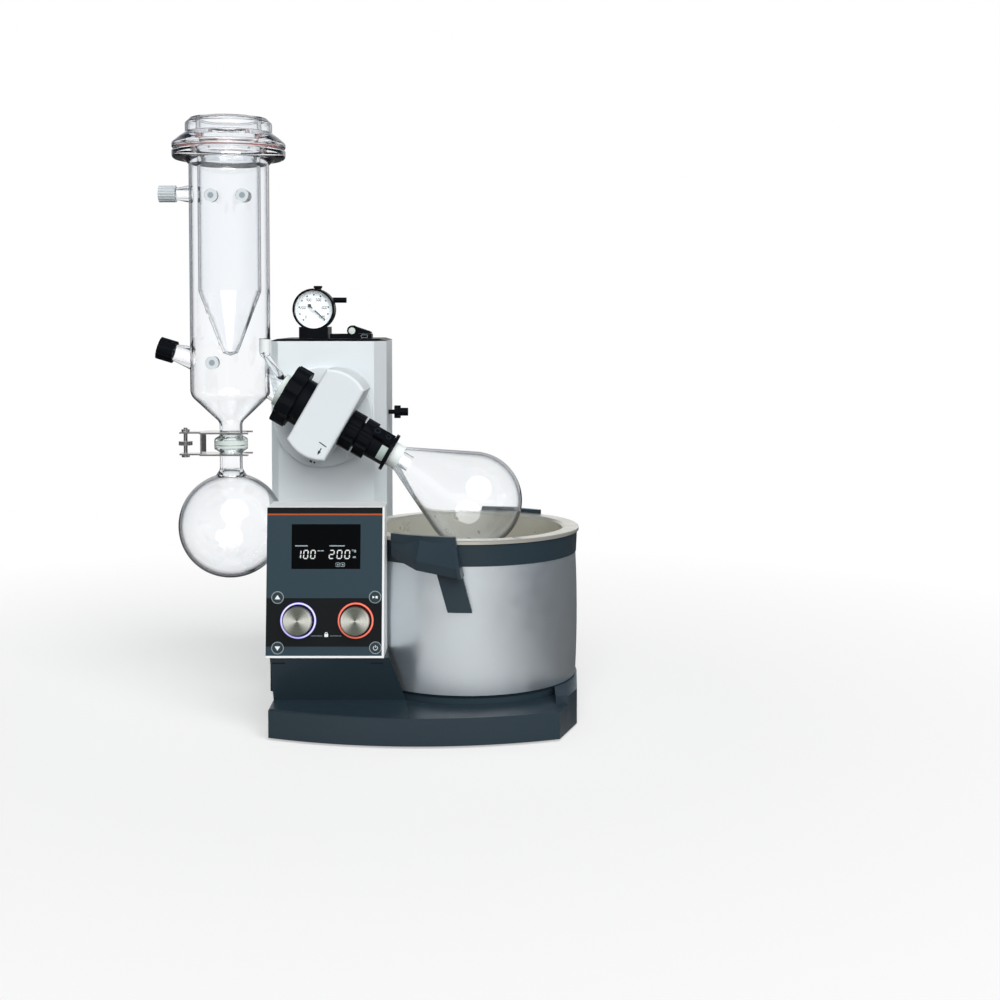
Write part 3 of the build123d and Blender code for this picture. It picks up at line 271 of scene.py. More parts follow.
SUN_DIRECTION, SUN_STRENGTH, SUN_SPREAD = (-0.24, 0.75, -0.6), 3.4, radians(60)
AREA_LIGHTS = {
    "key": {"place": (1.6, -2.2, 2.0), "target": (0, 0, 0.3), "size": (1.4, 1.4), "watts": 6},
    "fill": {"place": (-2.2, -1.8, 1.2), "target": (0.05, 0, 0.25), "size": (1.2, 1.8), "watts": 0.5},
}


def make_lights():
    """A broad soft sun that casts no mirror image of itself, and two faint area lamps."""
    sun = add_light("sun", "SUN", SUN_DIRECTION, SUN_STRENGTH)
    sun.data.angle = SUN_SPREAD
    sun.visible_glossy = False
    for name, lamp in AREA_LIGHTS.items():
        place = Vector(lamp["place"])
        light = add_light(name, "AREA", Vector(lamp["target"]) - place, lamp["watts"])
        light.location = place
        light.data.shape = "RECTANGLE"
        light.data.size, light.data.size_y = lamp["size"]


scene.view_settings.view_transform = "Standard"
make_camera()
make_world()
make_floor()
make_lights()


# Materials

CLOUD_SCALE, GLOSS_SCALE, GLOSS_SPREAD = 9.0, 60.0, 0.12
GRAIN_STRENGTH = 0.35


def new_material(name, metallic=0.0):
    mat = bpy.data.materials.new(name)
    mat.use_nodes = True
    bsdf = mat.node_tree.nodes["Principled BSDF"]
    bsdf.inputs["Metallic"].default_value = metallic
    return mat, mat.node_tree, bsdf


def plastic(name, colour, roughness=0.45, grain=900.0, depth=0.00006, spread=0.06, specular=0.3,
            metallic=0.0):
    """Moulded plastic, paint or plain metal: fine grain, slightly uneven colour and gloss."""
    mat, tree, bsdf = new_material(name, metallic)
    bsdf.inputs["Specular IOR Level"].default_value = specular
    colour = srgb(*colour)
    cloud = noise(tree, CLOUD_SCALE, 4.0)
    colours = mix_colours(tree, cloud, shade(colour, 1 - spread), shade(colour, 1 + spread))
    tree.links.new(colours, bsdf.inputs["Base Color"])
    dull, shiny = roughness * (1 + GLOSS_SPREAD), roughness * (1 - GLOSS_SPREAD)
    tree.links.new(between(tree, noise(tree, GLOSS_SCALE), shiny, dull), bsdf.inputs["Roughness"])
    add_bump(tree, bsdf, noise(tree, grain, 2.0), GRAIN_STRENGTH, depth)
    return mat


BRUSH_SCALE, BRUSH_STRETCH, BRUSH_STRENGTH, BRUSH_DEPTH = 90.0, (1, 1, 60), 0.3, 0.00002


def metal(name, colour, roughness):
    """Brushed metal: fine lines along one direction."""
    mat, tree, bsdf = new_material(name, 1.0)
    colour = srgb(*colour)
    lines = noise(tree, BRUSH_SCALE, 4.0, BRUSH_STRETCH)
    colours = mix_colours(tree, lines, shade(colour, 0.9), shade(colour, 1.05))
    tree.links.new(colours, bsdf.inputs["Base Color"])
    tree.links.new(between(tree, lines, roughness * 0.75, roughness * 1.25), bsdf.inputs["Roughness"])
    add_bump(tree, bsdf, lines, BRUSH_STRENGTH, BRUSH_DEPTH)
    return mat


# the first number sets how narrow the painted bow-tie highlight of turned metal is
PAINTED_SHEEN_SHARPNESS, TURNED_RINGS, TURNED_STREAKS, TURNED_GLOSS = 1.6, 2600.0, 0.35, (0.22, 0.38)
NEARLY_ZERO = 1e-9


def turned_metal(name, low, high):
    """Metal turned on a lathe: fine rings, and a painted bow-tie sheen that makes it paler towards its left
    and right, about the local Z axis.
    """
    mat, tree, bsdf = new_material(name, 1.0)
    axes = separate(tree, object_place(tree))
    across = calculate(tree, "MULTIPLY", axes["X"], axes["X"])
    up = calculate(tree, "MULTIPLY", axes["Y"], axes["Y"])
    reach = calculate(tree, "ADD", calculate(tree, "ADD", across, up), NEARLY_ZERO)
    # painted highlight: the colour grows paler where the surface lies along local X, standing in for the
    # bow-tie reflection of turned metal
    share = calculate(tree, "POWER", calculate(tree, "DIVIDE", across, reach), PAINTED_SHEEN_SHARPNESS)
    rings = noise_along(tree, calculate(tree, "MULTIPLY", calculate(tree, "SQRT", reach), TURNED_RINGS))
    streaks = calculate(tree, "MULTIPLY", calculate(tree, "SUBTRACT", rings, 0.5), TURNED_STREAKS)
    paler = calculate(tree, "ADD", share, streaks)
    tree.links.new(mix_colours(tree, paler, srgb(*low), srgb(*high)), bsdf.inputs["Base Color"])
    tree.links.new(between(tree, rings, *TURNED_GLOSS), bsdf.inputs["Roughness"])
    return mat


# the edge colour is painted shade, standing in for the dark lines that glass shows at its edges
GLASS_TINT, GLASS_PAINTED_EDGE = (253, 254, 255), (10, 20, 38)
GLASS_EDGE_SHADE_SPAN, GLASS_DULLS = (0.56, 0.8), (0.7, 0.86)
GLASS_SHADOW = (0.93, 0.95, 0.95, 1)


def clear_glass(name):
    """Clear glass with painted shade at its edges: dark and dull where it is seen edge on. It lets lamps
    through.
    """
    mat, tree, bsdf = new_material(name)
    bsdf.inputs["Roughness"].default_value = 0.0
    bsdf.inputs["IOR"].default_value = 1.47
    bsdf.inputs["Specular IOR Level"].default_value = 0.25
    facing = add_node(tree, "LayerWeight", Blend=0.5).outputs["Facing"]
    # painted shade: the glass is made less clear and coloured dark navy where it is seen edge on
    tree.links.new(between(tree, facing, 1.0, 0.0, *GLASS_DULLS), bsdf.inputs["Transmission Weight"])
    painted_edge_share = between(tree, facing, 0.0, 1.0, *GLASS_EDGE_SHADE_SPAN)
    colours = mix_colours(tree, painted_edge_share, srgb(*GLASS_TINT), srgb(*GLASS_PAINTED_EDGE))
    tree.links.new(colours, bsdf.inputs["Base Color"])
    shadow = add_node(tree, "LightPath").outputs["Is Shadow Ray"]
    clear = add_node(tree, "BsdfTransparent", Color=GLASS_SHADOW)
    mix = mix_shaders(tree, shadow, bsdf, clear)
    tree.links.new(mix.outputs[0], tree.nodes["Material Output"].inputs["Surface"])
    return mat


def lit(name, strength, make_colours):
    """A lit surface whose own colour and glow are the same."""
    mat, tree, bsdf = new_material(name)
    colours = make_colours(tree)
    tree.links.new(colours, bsdf.inputs["Base Color"])
    tree.links.new(colours, bsdf.inputs["Emission Color"])
    bsdf.inputs["Emission Strength"].default_value = strength
    bsdf.inputs["Roughness"].default_value = 0.4
    return mat


def glow(name, colour, strength):
    colour = srgb(*colour)
    return lit(name, strength,
               lambda tree: mix_colours(tree, noise(tree, 200.0), shade(colour, 0.92), shade(colour, 1.0)))


RING_INNER, RING_OUTER = 18.6, 20.9


def lit_ring(name, core, rim, strength):
    """A light guide that is paler along its middle radius than at its edges, about the local Z axis."""
    middle = (RING_INNER + RING_OUTER) / 2 * MM
    half_width = (RING_OUTER - RING_INNER) / 2 * MM

    def ring_colours(tree):
        flat = vector_step(tree, "MULTIPLY", object_place(tree))
        flat.inputs[1].default_value = (1, 1, 0)
        radius = vector_step(tree, "LENGTH", flat.outputs[0]).outputs["Value"]
        off = calculate(tree, "ABSOLUTE", calculate(tree, "SUBTRACT", radius, middle))
        share = between(tree, off, 0.0, 1.0, half_width * 0.3, half_width)
        return mix_colours(tree, share, srgb(*core), srgb(*rim))

    return lit(name, strength, ring_colours)


PLASTICS = {
    "base_plastic": {"colour": (38, 51, 59), "roughness": 0.34, "specular": 0.35},
    "rubber": {"colour": (32, 33, 35), "roughness": 0.8, "grain": 500.0},
    "light_cover": {"colour": (214, 220, 223), "roughness": 0.38, "grain": 1400.0, "depth": 0.00003,
                    "spread": 0.02},
    "housing_white": {"colour": (226, 228, 228), "roughness": 0.4, "grain": 1200.0, "depth": 0.00003,
                      "spread": 0.02},
    "panel_face": {"colour": (44, 60, 68), "roughness": 0.34, "grain": 1500.0, "depth": 0.00002,
                   "spread": 0.03, "specular": 0.2},
    "display_glass": {"colour": (5, 6, 8), "roughness": 0.14, "grain": 300.0, "depth": 0.0,
                      "spread": 0.02, "specular": 0.03},
    "circuit_board": {"colour": (28, 92, 56), "roughness": 0.4},
    "button_film": {"colour": (40, 52, 58), "roughness": 0.4},
    "black_plastic": {"colour": (12, 14, 18), "roughness": 0.4, "grain": 700.0, "specular": 0.07},
    "white_plastic": {"colour": (196, 203, 207), "roughness": 0.4},
    "motor_metal": {"colour": (52, 54, 58), "roughness": 0.4},
    "seal_rubber": {"colour": (168, 112, 108), "roughness": 0.6},
    "belt_rubber": {"colour": (26, 26, 28), "roughness": 0.7},
    "bath_silver": {"colour": (240, 247, 251), "roughness": 0.36, "grain": 1600.0, "depth": 0.00002,
                    "spread": 0.015, "metallic": 0.92},
    "gauge_white": {"colour": (222, 227, 228), "roughness": 0.5, "specular": 0.1},
    "pot_steel": {"colour": (214, 211, 200), "roughness": 0.3, "depth": 0.0, "spread": 0.02, "metallic": 0.7},
    "print_white": {"colour": (226, 230, 230), "roughness": 0.5},
    "print_grey": {"colour": (150, 166, 172), "roughness": 0.5},
    "print_black": {"colour": (15, 18, 20), "roughness": 0.36, "grain": 1500.0, "depth": 0.00002,
                    "spread": 0.03, "specular": 0.15},
    "print_accent": {"colour": (176, 74, 32)},
    "mark_dark": {"colour": (44, 50, 58), "roughness": 0.5},
    "mark_black": {"colour": (20, 22, 24), "roughness": 0.5},
    "label_grey": {"colour": (172, 186, 181), "roughness": 0.5},
    # painted shade: the darker grey of the discs laid over the ports' bores
    "port_grey": {"colour": (148, 160, 166), "roughness": 0.5},
    "port_pale": {"colour": (208, 216, 219), "roughness": 0.6},
    "frosted": {"colour": (226, 232, 231), "roughness": 0.75, "grain": 2500.0, "depth": 0.00004,
                "spread": 0.02},
    "frosted_green": {"colour": (210, 219, 214), "roughness": 0.7, "grain": 2500.0, "depth": 0.00004,
                      "spread": 0.03},
}
METALS = {
    "steel_plate": ((150, 152, 154), 0.35), "knob_metal": ((196, 198, 200), 0.3),
    "aluminium": ((190, 192, 194), 0.32), "steel": ((205, 205, 202), 0.2),
}

MATERIALS = {name: plastic(name, **values) for name, values in PLASTICS.items()}
MATERIALS.update({name: metal(name, *values) for name, values in METALS.items()})
MATERIALS["clear_glass"] = clear_glass("clear_glass")
MATERIALS["led_light"] = glow("led_light", (150, 140, 230), 0.8)
MATERIALS["ring_violet"] = lit_ring("ring_violet", (208, 204, 250), (112, 102, 204), 0.45)
MATERIALS["ring_red"] = lit_ring("ring_red", (232, 120, 98), (176, 54, 40), 0.35)
# painted reflection: the knob face's dark and pale colours stand in for its bow-tie highlight
MATERIALS["knob_face"] = turned_metal("knob_face", (112, 116, 106), (240, 240, 230))


# The CAD nodes' looks

SMOOTH_ANGLE, EASED_ANGLE, FLAT_ANGLE = radians(32), radians(30), radians(0.5)
EASED_SEGMENTS = 3
EASED_WIDTHS = {
    "base_tray": 1.2, "panel_pedestal": 1.0, "panel_housing": 0.8, "bath_handles": 1.4, "tower_cap": 0.8,
    "tower_front_cover": 0.8, "tower_rear_cover": 0.8, "vacuum_block": 0.6, "head_shell_front": 0.8,
    "head_shell_back": 0.8,
}
OWN_MATERIALS = {"bath_pot": "pot_steel"}


def smooth_by_angle(obj):
    """Smooth shading, kept sharp where two faces meet at more than an angle."""
    obj.data.shade_smooth()
    obj.data.set_sharp_from_angle(angle=SMOOTH_ANGLE)


def ease_edges(obj, width):
    """Rounds an object's sharp edges by a width in millimetres."""
    merge = obj.modifiers.new("merge flat faces", "DECIMATE")
    merge.decimate_type = "DISSOLVE"
    merge.angle_limit = FLAT_ANGLE
    bevel = obj.modifiers.new("ease edges", "BEVEL")
    bevel.width = width * MM
    bevel.segments = EASED_SEGMENTS
    bevel.limit_method = "ANGLE"
    bevel.angle_limit = EASED_ANGLE
    bevel.harden_normals = True


for part in frame["record"]["subparts"]:
    name = part["node"]
    node = nodes[name]
    node.data.materials.clear()
    node.data.materials.append(MATERIALS[OWN_MATERIALS.get(name, part["material_slot"])])
    smooth_by_angle(node)
    if name in EASED_WIDTHS:
        ease_edges(node, EASED_WIDTHS[name])


# Places and outlines, in millimetres

CORNER_STEPS = 5
CIRCLE_STEPS = 40
ARC_STEPS = 16


def local_frame(origin, x_axis, z_axis):
    x_axis = Vector(x_axis).normalized()
    z_axis = Vector(z_axis).normalized()
    turn = Matrix((x_axis, z_axis.cross(x_axis), z_axis)).transposed().to_4x4()
    return Matrix.Translation(Vector(origin) * MM) @ turn


def upright_at(x, y):
    return local_frame((x, y, 0), (1, 0, 0), (0, 0, 1))


def facing_front(x, y, z):
    """A frame with X to the right, Y up and Z to the front."""
    return local_frame((x, y, z), (1, 0, 0), (0, -1, 0))


def shifted(at, x, y):
    return at @ Matrix.Translation(Vector((x, y, 0)) * MM)


def softened(points, radius, closed=True):
    """The outline with its corners rounded. A radius may be one number or one for each point."""
    count = len(points)
    radii = radius if isinstance(radius, (list, tuple)) else [radius] * count
    out = []
    for i, point in enumerate(points):
        here = Vector(point)
        if radii[i] <= 0 or (not closed and i in (0, count - 1)):
            out.append(tuple(here))
            continue
        before = Vector(points[i - 1]) - here
        after = Vector(points[(i + 1) % count]) - here
        turn = before.angle(after, pi)
        cut = radii[i] / max(tan(turn / 2), 0.01)
        cut = min(cut, before.length * 0.49, after.length * 0.49)
        start = here + before.normalized() * cut
        end = here + after.normalized() * cut
        for step in range(CORNER_STEPS + 1):
            t = step / CORNER_STEPS
            out.append(tuple(start.lerp(here, t).lerp(here.lerp(end, t), t)))
    return out


def arc(centre, radius, start, end, steps=ARC_STEPS):
    """Points on a circle from one angle to another, in degrees."""
    angles = [radians(start + (end - start) * i / steps) for i in range(steps + 1)]
    return [(centre[0] + radius * cos(a), centre[1] + radius * sin(a)) for a in angles]


def circle(x, y, radius):
    return arc((x, y), radius, 0, 360 - 360 / CIRCLE_STEPS, CIRCLE_STEPS - 1)


def block(left, right, low, high):
    return [(left, low), (right, low), (right, high), (left, high)]


def rounded_block(left, right, low, high, radius):
    return softened(block(left, right, low, high), radius)


def stroke(points, width):
    """A line of a given width through points, as one outline."""
    left, right = [], []
    for i, point in enumerate(points):
        here = Vector(point)
        ahead = Vector(points[min(i + 1, len(points) - 1)])
        behind = Vector(points[max(i - 1, 0)])
        side = (ahead - behind).normalized().orthogonal() * width / 2
        left.append(tuple(here + side))
        right.append(tuple(here - side))
    return left + right[::-1]


def frame_line(left, right, low, high, radius, width):
    """A line round a rounded block."""
    return stroke(rounded_block(left, right, low, high, radius) + [(left, (low + high) / 2)], width)


def hoop(x, y, radius, width, start=0.0, end=360.0):
    """A printed ring, as four outlines that meet end to end."""
    quarter = (end - start) / 4
    turns = [start + quarter * i for i in range(4)]
    return [stroke(arc((x, y), radius, turn, turn + quarter), width) for turn in turns]


# Meshes from outlines, within a local frame

TURN_STEPS = 96
SWEEP_STEPS = 36
ON_AXIS = 1e-6


def build_mesh(name, points, faces):
    work = bmesh.new()
    corners = [work.verts.new(Vector(p) * MM) for p in points]
    for face in faces:
        work.faces.new([corners[i] for i in face])
    bmesh.ops.recalc_face_normals(work, faces=work.faces)
    mesh = bpy.data.meshes.new(name)
    work.to_mesh(mesh)
    work.free()
    return mesh


def turned_mesh(name, outline):
    """A closed outline of (radius, height) points turned about the local Z axis."""
    points, faces, rings = [], [], []
    turns = [2 * pi * i / TURN_STEPS for i in range(TURN_STEPS)]
    for radius, height in outline:
        if radius < ON_AXIS:
            rings.append([len(points)] * TURN_STEPS)
            points.append((0, 0, height))
        else:
            rings.append(list(range(len(points), len(points) + TURN_STEPS)))
            points.extend((radius * cos(a), radius * sin(a), height) for a in turns)
    for low, high in zip(rings, rings[1:] + rings[:1]):
        for i in range(TURN_STEPS):
            j = (i + 1) % TURN_STEPS
            corners = [low[i], low[j], high[j], high[i]]
            corners = [c for k, c in enumerate(corners) if c not in corners[:k]]
            if len(corners) > 2:
                faces.append(corners)
    return build_mesh(name, points, faces)


def swept_mesh(name, section, start, end):
    """A closed section of (radius, height) points swept about the local Z axis between two angles."""
    points, faces = [], []
    count = len(section)
    for i in range(SWEEP_STEPS + 1):
        turn = radians(start + (end - start) * i / SWEEP_STEPS)
        points.extend((radius * cos(turn), radius * sin(turn), height) for radius, height in section)
    for i in range(SWEEP_STEPS):
        for k in range(count):
            n = (k + 1) % count
            faces.append([i * count + k, i * count + n, (i + 1) * count + n, (i + 1) * count + k])
    faces.append(list(range(count)))
    faces.append([SWEEP_STEPS * count + k for k in reversed(range(count))])
    return build_mesh(name, points, faces)


def plate_mesh(name, outlines, low, high, holes=()):
    """Flat outlines in the local XY plane, raised from low to high. Holes are cut in the first outline."""
    points, faces = [], []
    for number, outline in enumerate(outlines):
        loops = [outline] + (list(holes) if number == 0 else [])
        base = len(points)
        flat = [p for loop in loops for p in loop]
        count = len(flat)
        points.extend((x, y, low) for x, y in flat)
        points.extend((x, y, high) for x, y in flat)
        if len(loops) > 1:
            cover = tessellate_polygon([[Vector((x, y, 0)) for x, y in loop] for loop in loops])
        else:
            cover = [range(count)]
        for corners in cover:
            faces.append([base + i for i in reversed(corners)])
            faces.append([base + count + i for i in corners])
        start = base
        for loop in loops:
            for i in range(len(loop)):
                j = (i + 1) % len(loop)
                faces.append([start + i, start + j, start + j + count, start + i + count])
            start += len(loop)
    return build_mesh(name, points, faces)


def add_piece(mesh, at, body, mat, stands_for=()):
    """A piece in its local frame, with its mesh's name."""
    mesh.materials.append(MATERIALS[mat])
    piece = bpy.data.objects.new(mesh.name, mesh)
    scene.collection.objects.link(piece)
    piece.matrix_world = at
    smooth_by_angle(piece)
    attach(piece, body)
    if stands_for:
        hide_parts(*stands_for)


# Digits

SEGMENTS = {
    "0": "abcdef", "1": "bc", "2": "abged", "3": "abgcd", "4": "fgbc",
    "5": "afgcd", "6": "afgedc", "7": "abc", "8": "abcdefg", "9": "gfabcd",
}
SEGMENT_GAP = 0.28
DIGIT_SLANT = 0.08


def segment_digit(digit, x, y, width, height, thick):
    """A seven segment digit with its lower left corner at x, y."""
    half = height / 2
    ends = {
        "a": ((0, height), (width, height)), "b": ((width, height), (width, half)),
        "c": ((width, half), (width, 0)), "d": ((0, 0), (width, 0)),
        "e": ((0, half), (0, 0)), "f": ((0, height), (0, half)), "g": ((0, half), (width, half)),
    }
    outlines = []
    for name in SEGMENTS[digit]:
        start, end = (Vector(p) for p in ends[name])
        along = (end - start).normalized()
        side = Vector((-along.y, along.x)) * thick / 2
        start = start + along * thick * SEGMENT_GAP
        end = end - along * thick * SEGMENT_GAP
        inset = along * thick / 2
        above = [start + inset + side, end - inset + side]
        below = [end - inset - side, start + inset - side]
        corners = [start] + above + [end] + below
        outlines.append([(x + c.x + c.y * DIGIT_SLANT, y + c.y) for c in corners])
    return outlines


def segment_number(number, x, y, width, height, thick, pitch):
    outlines = []
    for i, digit in enumerate(str(number)):
        outlines.extend(segment_digit(digit, x + pitch * i, y, width, height, thick))
    return outlines


# Control panel: prints and signs

PANEL_LEAN = radians(7.0)
PANEL_FRONT = -150.0
PANEL_BOTTOM = 95.0
PANEL_LEFT, PANEL_RIGHT = -105.0, 29.4
panel = local_frame((0, PANEL_FRONT, PANEL_BOTTOM), (1, 0, 0), (0, -cos(PANEL_LEAN), sin(PANEL_LEAN)))
PRINT, FIELD, PRINT_SEAT = 0.12, 0.06, 0.02
WINDOW_FACE = -0.2
KNOB_ZONE, TOP_BAND, ACCENT_LINE = (13.1, 68.8), (167.0, 173.6), (164.8, 166.5)
KNOB_X = {"rotation_knob": -67.5, "heat_knob": -0.9}
KNOB_RISE, KNOB_HOLE = 43.0, 4.5
BUTTONS = {
    "lift_up_button": (-91.8, 69.5), "lift_down_button": (-91.2, 11.5),
    "start_stop_button": (21.5, 70.0), "power_button": (22.2, 11.8),
}
BUTTON_HOLE, BUTTON_RING, BUTTON_TOP = 6.1, 6.8, 0.6


def printed(name, outlines, mat, at=panel, body="base", low=0.0, thick=PRINT, holes=()):
    add_piece(plate_mesh(name, outlines, low - PRINT_SEAT, low + thick, holes), at, body, mat)


def zone_outline():
    """The dark field behind the knobs, cut away round the four buttons."""
    low_level, high_level = KNOB_ZONE
    low_edge, high_edge = [], []
    for name in ("lift_down_button", "power_button"):
        turn = degrees(asin((low_level - BUTTONS[name][1]) / BUTTON_HOLE))
        low_edge += arc(BUTTONS[name], BUTTON_HOLE, 180 - turn, turn)
    for name in ("lift_up_button", "start_stop_button"):
        turn = degrees(asin((high_level - BUTTONS[name][1]) / BUTTON_HOLE))
        high_edge += arc(BUTTONS[name], BUTTON_HOLE, -180 - turn, turn)
    low_edge = [(PANEL_LEFT, low_level)] + low_edge + [(PANEL_RIGHT, low_level)]
    return low_edge + [(PANEL_RIGHT, high_level)] + high_edge[::-1] + [(PANEL_LEFT, high_level)]


knob_holes = [circle(x, KNOB_RISE, KNOB_HOLE) for x in KNOB_X.values()]
printed("panel_knob_zone", [zone_outline()], "print_black", thick=FIELD, holes=knob_holes)
printed("panel_top_band", [block(PANEL_LEFT, PANEL_RIGHT, *TOP_BAND)], "print_black", thick=FIELD)
printed("panel_accent_line", [block(PANEL_LEFT, PANEL_RIGHT, *ACCENT_LINE)], "print_accent", thick=FIELD)

DIGIT_LEVEL, DIGIT_HEIGHT, DIGIT_THICK = 114.6, 9.4, 1.1
display_marks = segment_number(100, -70.6, DIGIT_LEVEL, 4.8, DIGIT_HEIGHT, DIGIT_THICK, 8.3)
display_marks += segment_number(200, -32.4, DIGIT_LEVEL, 5.2, DIGIT_HEIGHT, DIGIT_THICK, 9.1)
printed("display_marks", display_marks, "print_white", low=WINDOW_FACE)

WORD_BARS = [(-72.2, -57.4, 128.6, 129.8, 0.4), (-32.2, -14.4, 128.6, 129.8, 0.4),
             (-46.0, -42.6, 122.9, 124.1, 0.3), (-42.0, -38.6, 122.9, 124.1, 0.3)]
SMALL_FRAMES_X = (-24.6, -18.8)
display_words = [rounded_block(*bar) for bar in WORD_BARS]
display_words += hoop(-4.9, 124.0, 0.9, 0.4)
display_words += [rounded_block(-3.2, -1.2, 121.6, 124.6, 0.4), block(-4.8, -1.4, 115.2, 117.0)]
for x in SMALL_FRAMES_X:
    display_words.append(frame_line(x, x + 4.6, 105.2, 109.6, 1.2, 0.5))
    display_words.append(rounded_block(x + 1.4, x + 3.2, 106.6, 108.2, 0.3))
printed("display_words", display_words, "print_grey", low=WINDOW_FACE)

lock_lines = [block(-52.9, -39.5, 25.2, 25.6), block(-30.6, -17.3, 25.2, 25.6)]
printed("panel_lock_lines", lock_lines, "print_grey")
lock_sign = [rounded_block(-37.1, -32.7, 24.2, 27.8, 0.5), stroke(arc((-34.9, 27.8), 1.5, 0, 180), 0.7)]
printed("panel_lock_sign", lock_sign, "print_white")

button_rings = [outline for x, rise in BUTTONS.values() for outline in hoop(x, rise, BUTTON_RING, 0.7)]
printed("button_rings", button_rings, "print_grey")

play_sign = softened([(-3.0, -1.7), (-0.3, 0), (-3.0, 1.7)], 0.2)
BUTTON_SIGNS = {
    "lift_up_button": [softened([(-3.3, -2.0), (3.3, -2.0), (0, 3.1)], 0.4)],
    "lift_down_button": [softened([(-3.3, 2.0), (0, -3.1), (3.3, 2.0)], 0.4)],
    "start_stop_button": [play_sign, rounded_block(0.5, 3.1, -1.4, 1.4, 0.2)],
    "power_button": hoop(0, -0.2, 2.4, 0.6, 120, 420) + [block(-0.3, 0.3, 0.2, 3.1)],
}
for name, outlines in BUTTON_SIGNS.items():
    place = shifted(panel, *BUTTONS[name])
    printed(name + "_sign", outlines, "print_white", at=place, body=name, low=BUTTON_TOP)


# Control panel: lit rings and knobs

RING_TOP = 0.8
SEAT_INNER, SEAT_OUTER, SEAT_TOP = 17.1, 18.55, 0.45
KNOB_RADIUS, KNOB_LOW, KNOB_TOP = 16.8, 1.1, 12.0
KNOB_RIM, KNOB_BORE, KNOB_FACE_THICK = 2.4, 4.0, 3.5
GROOVE_PITCH, GROOVE_DEPTH = 0.8, 0.09
GROOVE_STEPS = (0.3, 0.5, 0.75)


def ring_section(inner, outer, high, corner):
    top = [(outer, corner / 2), (outer, high), (inner, high), (inner, corner / 2)]
    return [(inner, 0), (outer, 0)] + softened(top, corner, closed=False)


def knob_section():
    """Half of the knob: a plain side, a rounded rim, a face with fine grooves and a bore from below."""
    top = KNOB_TOP - GROOVE_DEPTH
    rim = [(KNOB_RADIUS, KNOB_LOW), (KNOB_RADIUS, top), (KNOB_RADIUS - KNOB_RIM, top)]
    outline = [(KNOB_RADIUS - 1, KNOB_LOW)] + softened(rim, KNOB_RIM / 2, closed=False)
    radius = KNOB_RADIUS - KNOB_RIM - 0.2
    while radius > GROOVE_PITCH:
        rise, level, fall = (radius - step for step in GROOVE_STEPS)
        outline += [(radius, top), (rise, KNOB_TOP), (level, KNOB_TOP), (fall, top)]
        radius -= GROOVE_PITCH
    inside = KNOB_TOP - KNOB_FACE_THICK
    return outline + [(0, top), (0, inside), (KNOB_BORE, inside), (KNOB_BORE, KNOB_LOW)]


def add_knob(name, ring_mat):
    """A lit ring with a dark seat, and a turned metal knob with a grooved face."""
    place = shifted(panel, KNOB_X[name], KNOB_RISE)
    ring = turned_mesh(name + "_ring", ring_section(RING_INNER, RING_OUTER, RING_TOP, 0.5))
    add_piece(ring, place, "base", ring_mat, ["led_rings"])
    seat = turned_mesh(name + "_seat", ring_section(SEAT_INNER, SEAT_OUTER, SEAT_TOP, 0.2))
    add_piece(seat, place, "base", "print_black")
    add_piece(turned_mesh(name + "_turned", knob_section()), place, name, "knob_face", [name])


add_knob("rotation_knob", "ring_violet")
add_knob("heat_knob", "ring_red")


# Gauge: a raised face with its scale, and the needle

gauge = facing_front(-78.7, 110.0, 499.0)
DIAL_BACK, DIAL, DIAL_RADIUS = -8.0, 5.0, 24.9
PIN_RADIUS, PIN_TOP = 1.2, DIAL + 3.6
NEEDLE_LOW, NEEDLE_TOP, NEEDLE_HUB_TOP = DIAL + 2.0, DIAL + 2.6, DIAL + 3.0
NEEDLE_HUB = (1.3, 2.1)
NEEDLE_REST = radians(-42)
SCALE_START, SCALE_SPAN, SCALE_STEPS = 225.0, 270.0, 50
BOLD_TICK, FINE_TICK = (18.4, 20.4, 2.0), (20.8, 22.0, 0.4)
NUMBER_STEPS, NUMBER_VALUE, NUMBER_RADIUS, NUMBER_HEIGHT, NUMBER_PITCH = 5, 200, 14.2, 4.0, 2.5


def scale_direction(share):
    turn = radians(SCALE_START - SCALE_SPAN * share)
    return Vector((cos(turn), sin(turn)))


def scale_outlines():
    """Ticks, bold at every fifth, and numbers at every tenth."""
    outlines = []
    for i in range(SCALE_STEPS + 1):
        along = scale_direction(i / SCALE_STEPS)
        near, far, width = FINE_TICK if i % 5 else BOLD_TICK
        outlines.append(stroke([tuple(along * near), tuple(along * far)], width))
    for i in range(NUMBER_STEPS + 1):
        centre = scale_direction(i / NUMBER_STEPS) * NUMBER_RADIUS
        number = NUMBER_VALUE * i
        left = centre.x - NUMBER_PITCH * len(str(number)) / 2
        low = centre.y - NUMBER_HEIGHT / 2
        outlines += segment_number(number, left, low, 1.5, NUMBER_HEIGHT, 1.0, NUMBER_PITCH)
    return outlines


dial_outline = [(0, DIAL_BACK), (DIAL_RADIUS, DIAL_BACK), (DIAL_RADIUS, DIAL), (PIN_RADIUS, DIAL),
                (PIN_RADIUS, PIN_TOP), (0, PIN_TOP)]
gauge_face = turned_mesh("gauge_face", dial_outline)
add_piece(gauge_face, gauge, "tower", "gauge_white", ["gauge_dial"])
printed("gauge_scale", scale_outlines(), "print_black", at=gauge, body="tower", low=DIAL)
needle_place = gauge @ Matrix.Rotation(NEEDLE_REST, 4, "Z")
needle_outline = [(-10.4, 0), (-7.4, -2.8), (-4.6, -0.7), (0, -1.0), (20.5, -0.4), (20.5, 0.4), (0, 1.0),
                  (-4.6, 0.7), (-7.4, 2.8)]
needle = plate_mesh("gauge_needle", [needle_outline], NEEDLE_LOW, NEEDLE_TOP)
add_piece(needle, needle_place, "gauge_pointer", "mark_black", ["gauge_pointer"])
needle_hub = turned_mesh("gauge_needle_hub", block(*NEEDLE_HUB, NEEDLE_TOP, NEEDLE_HUB_TOP))
add_piece(needle_hub, needle_place, "gauge_pointer", "print_white")


# Hose clamp: pivot cap and a printed frame

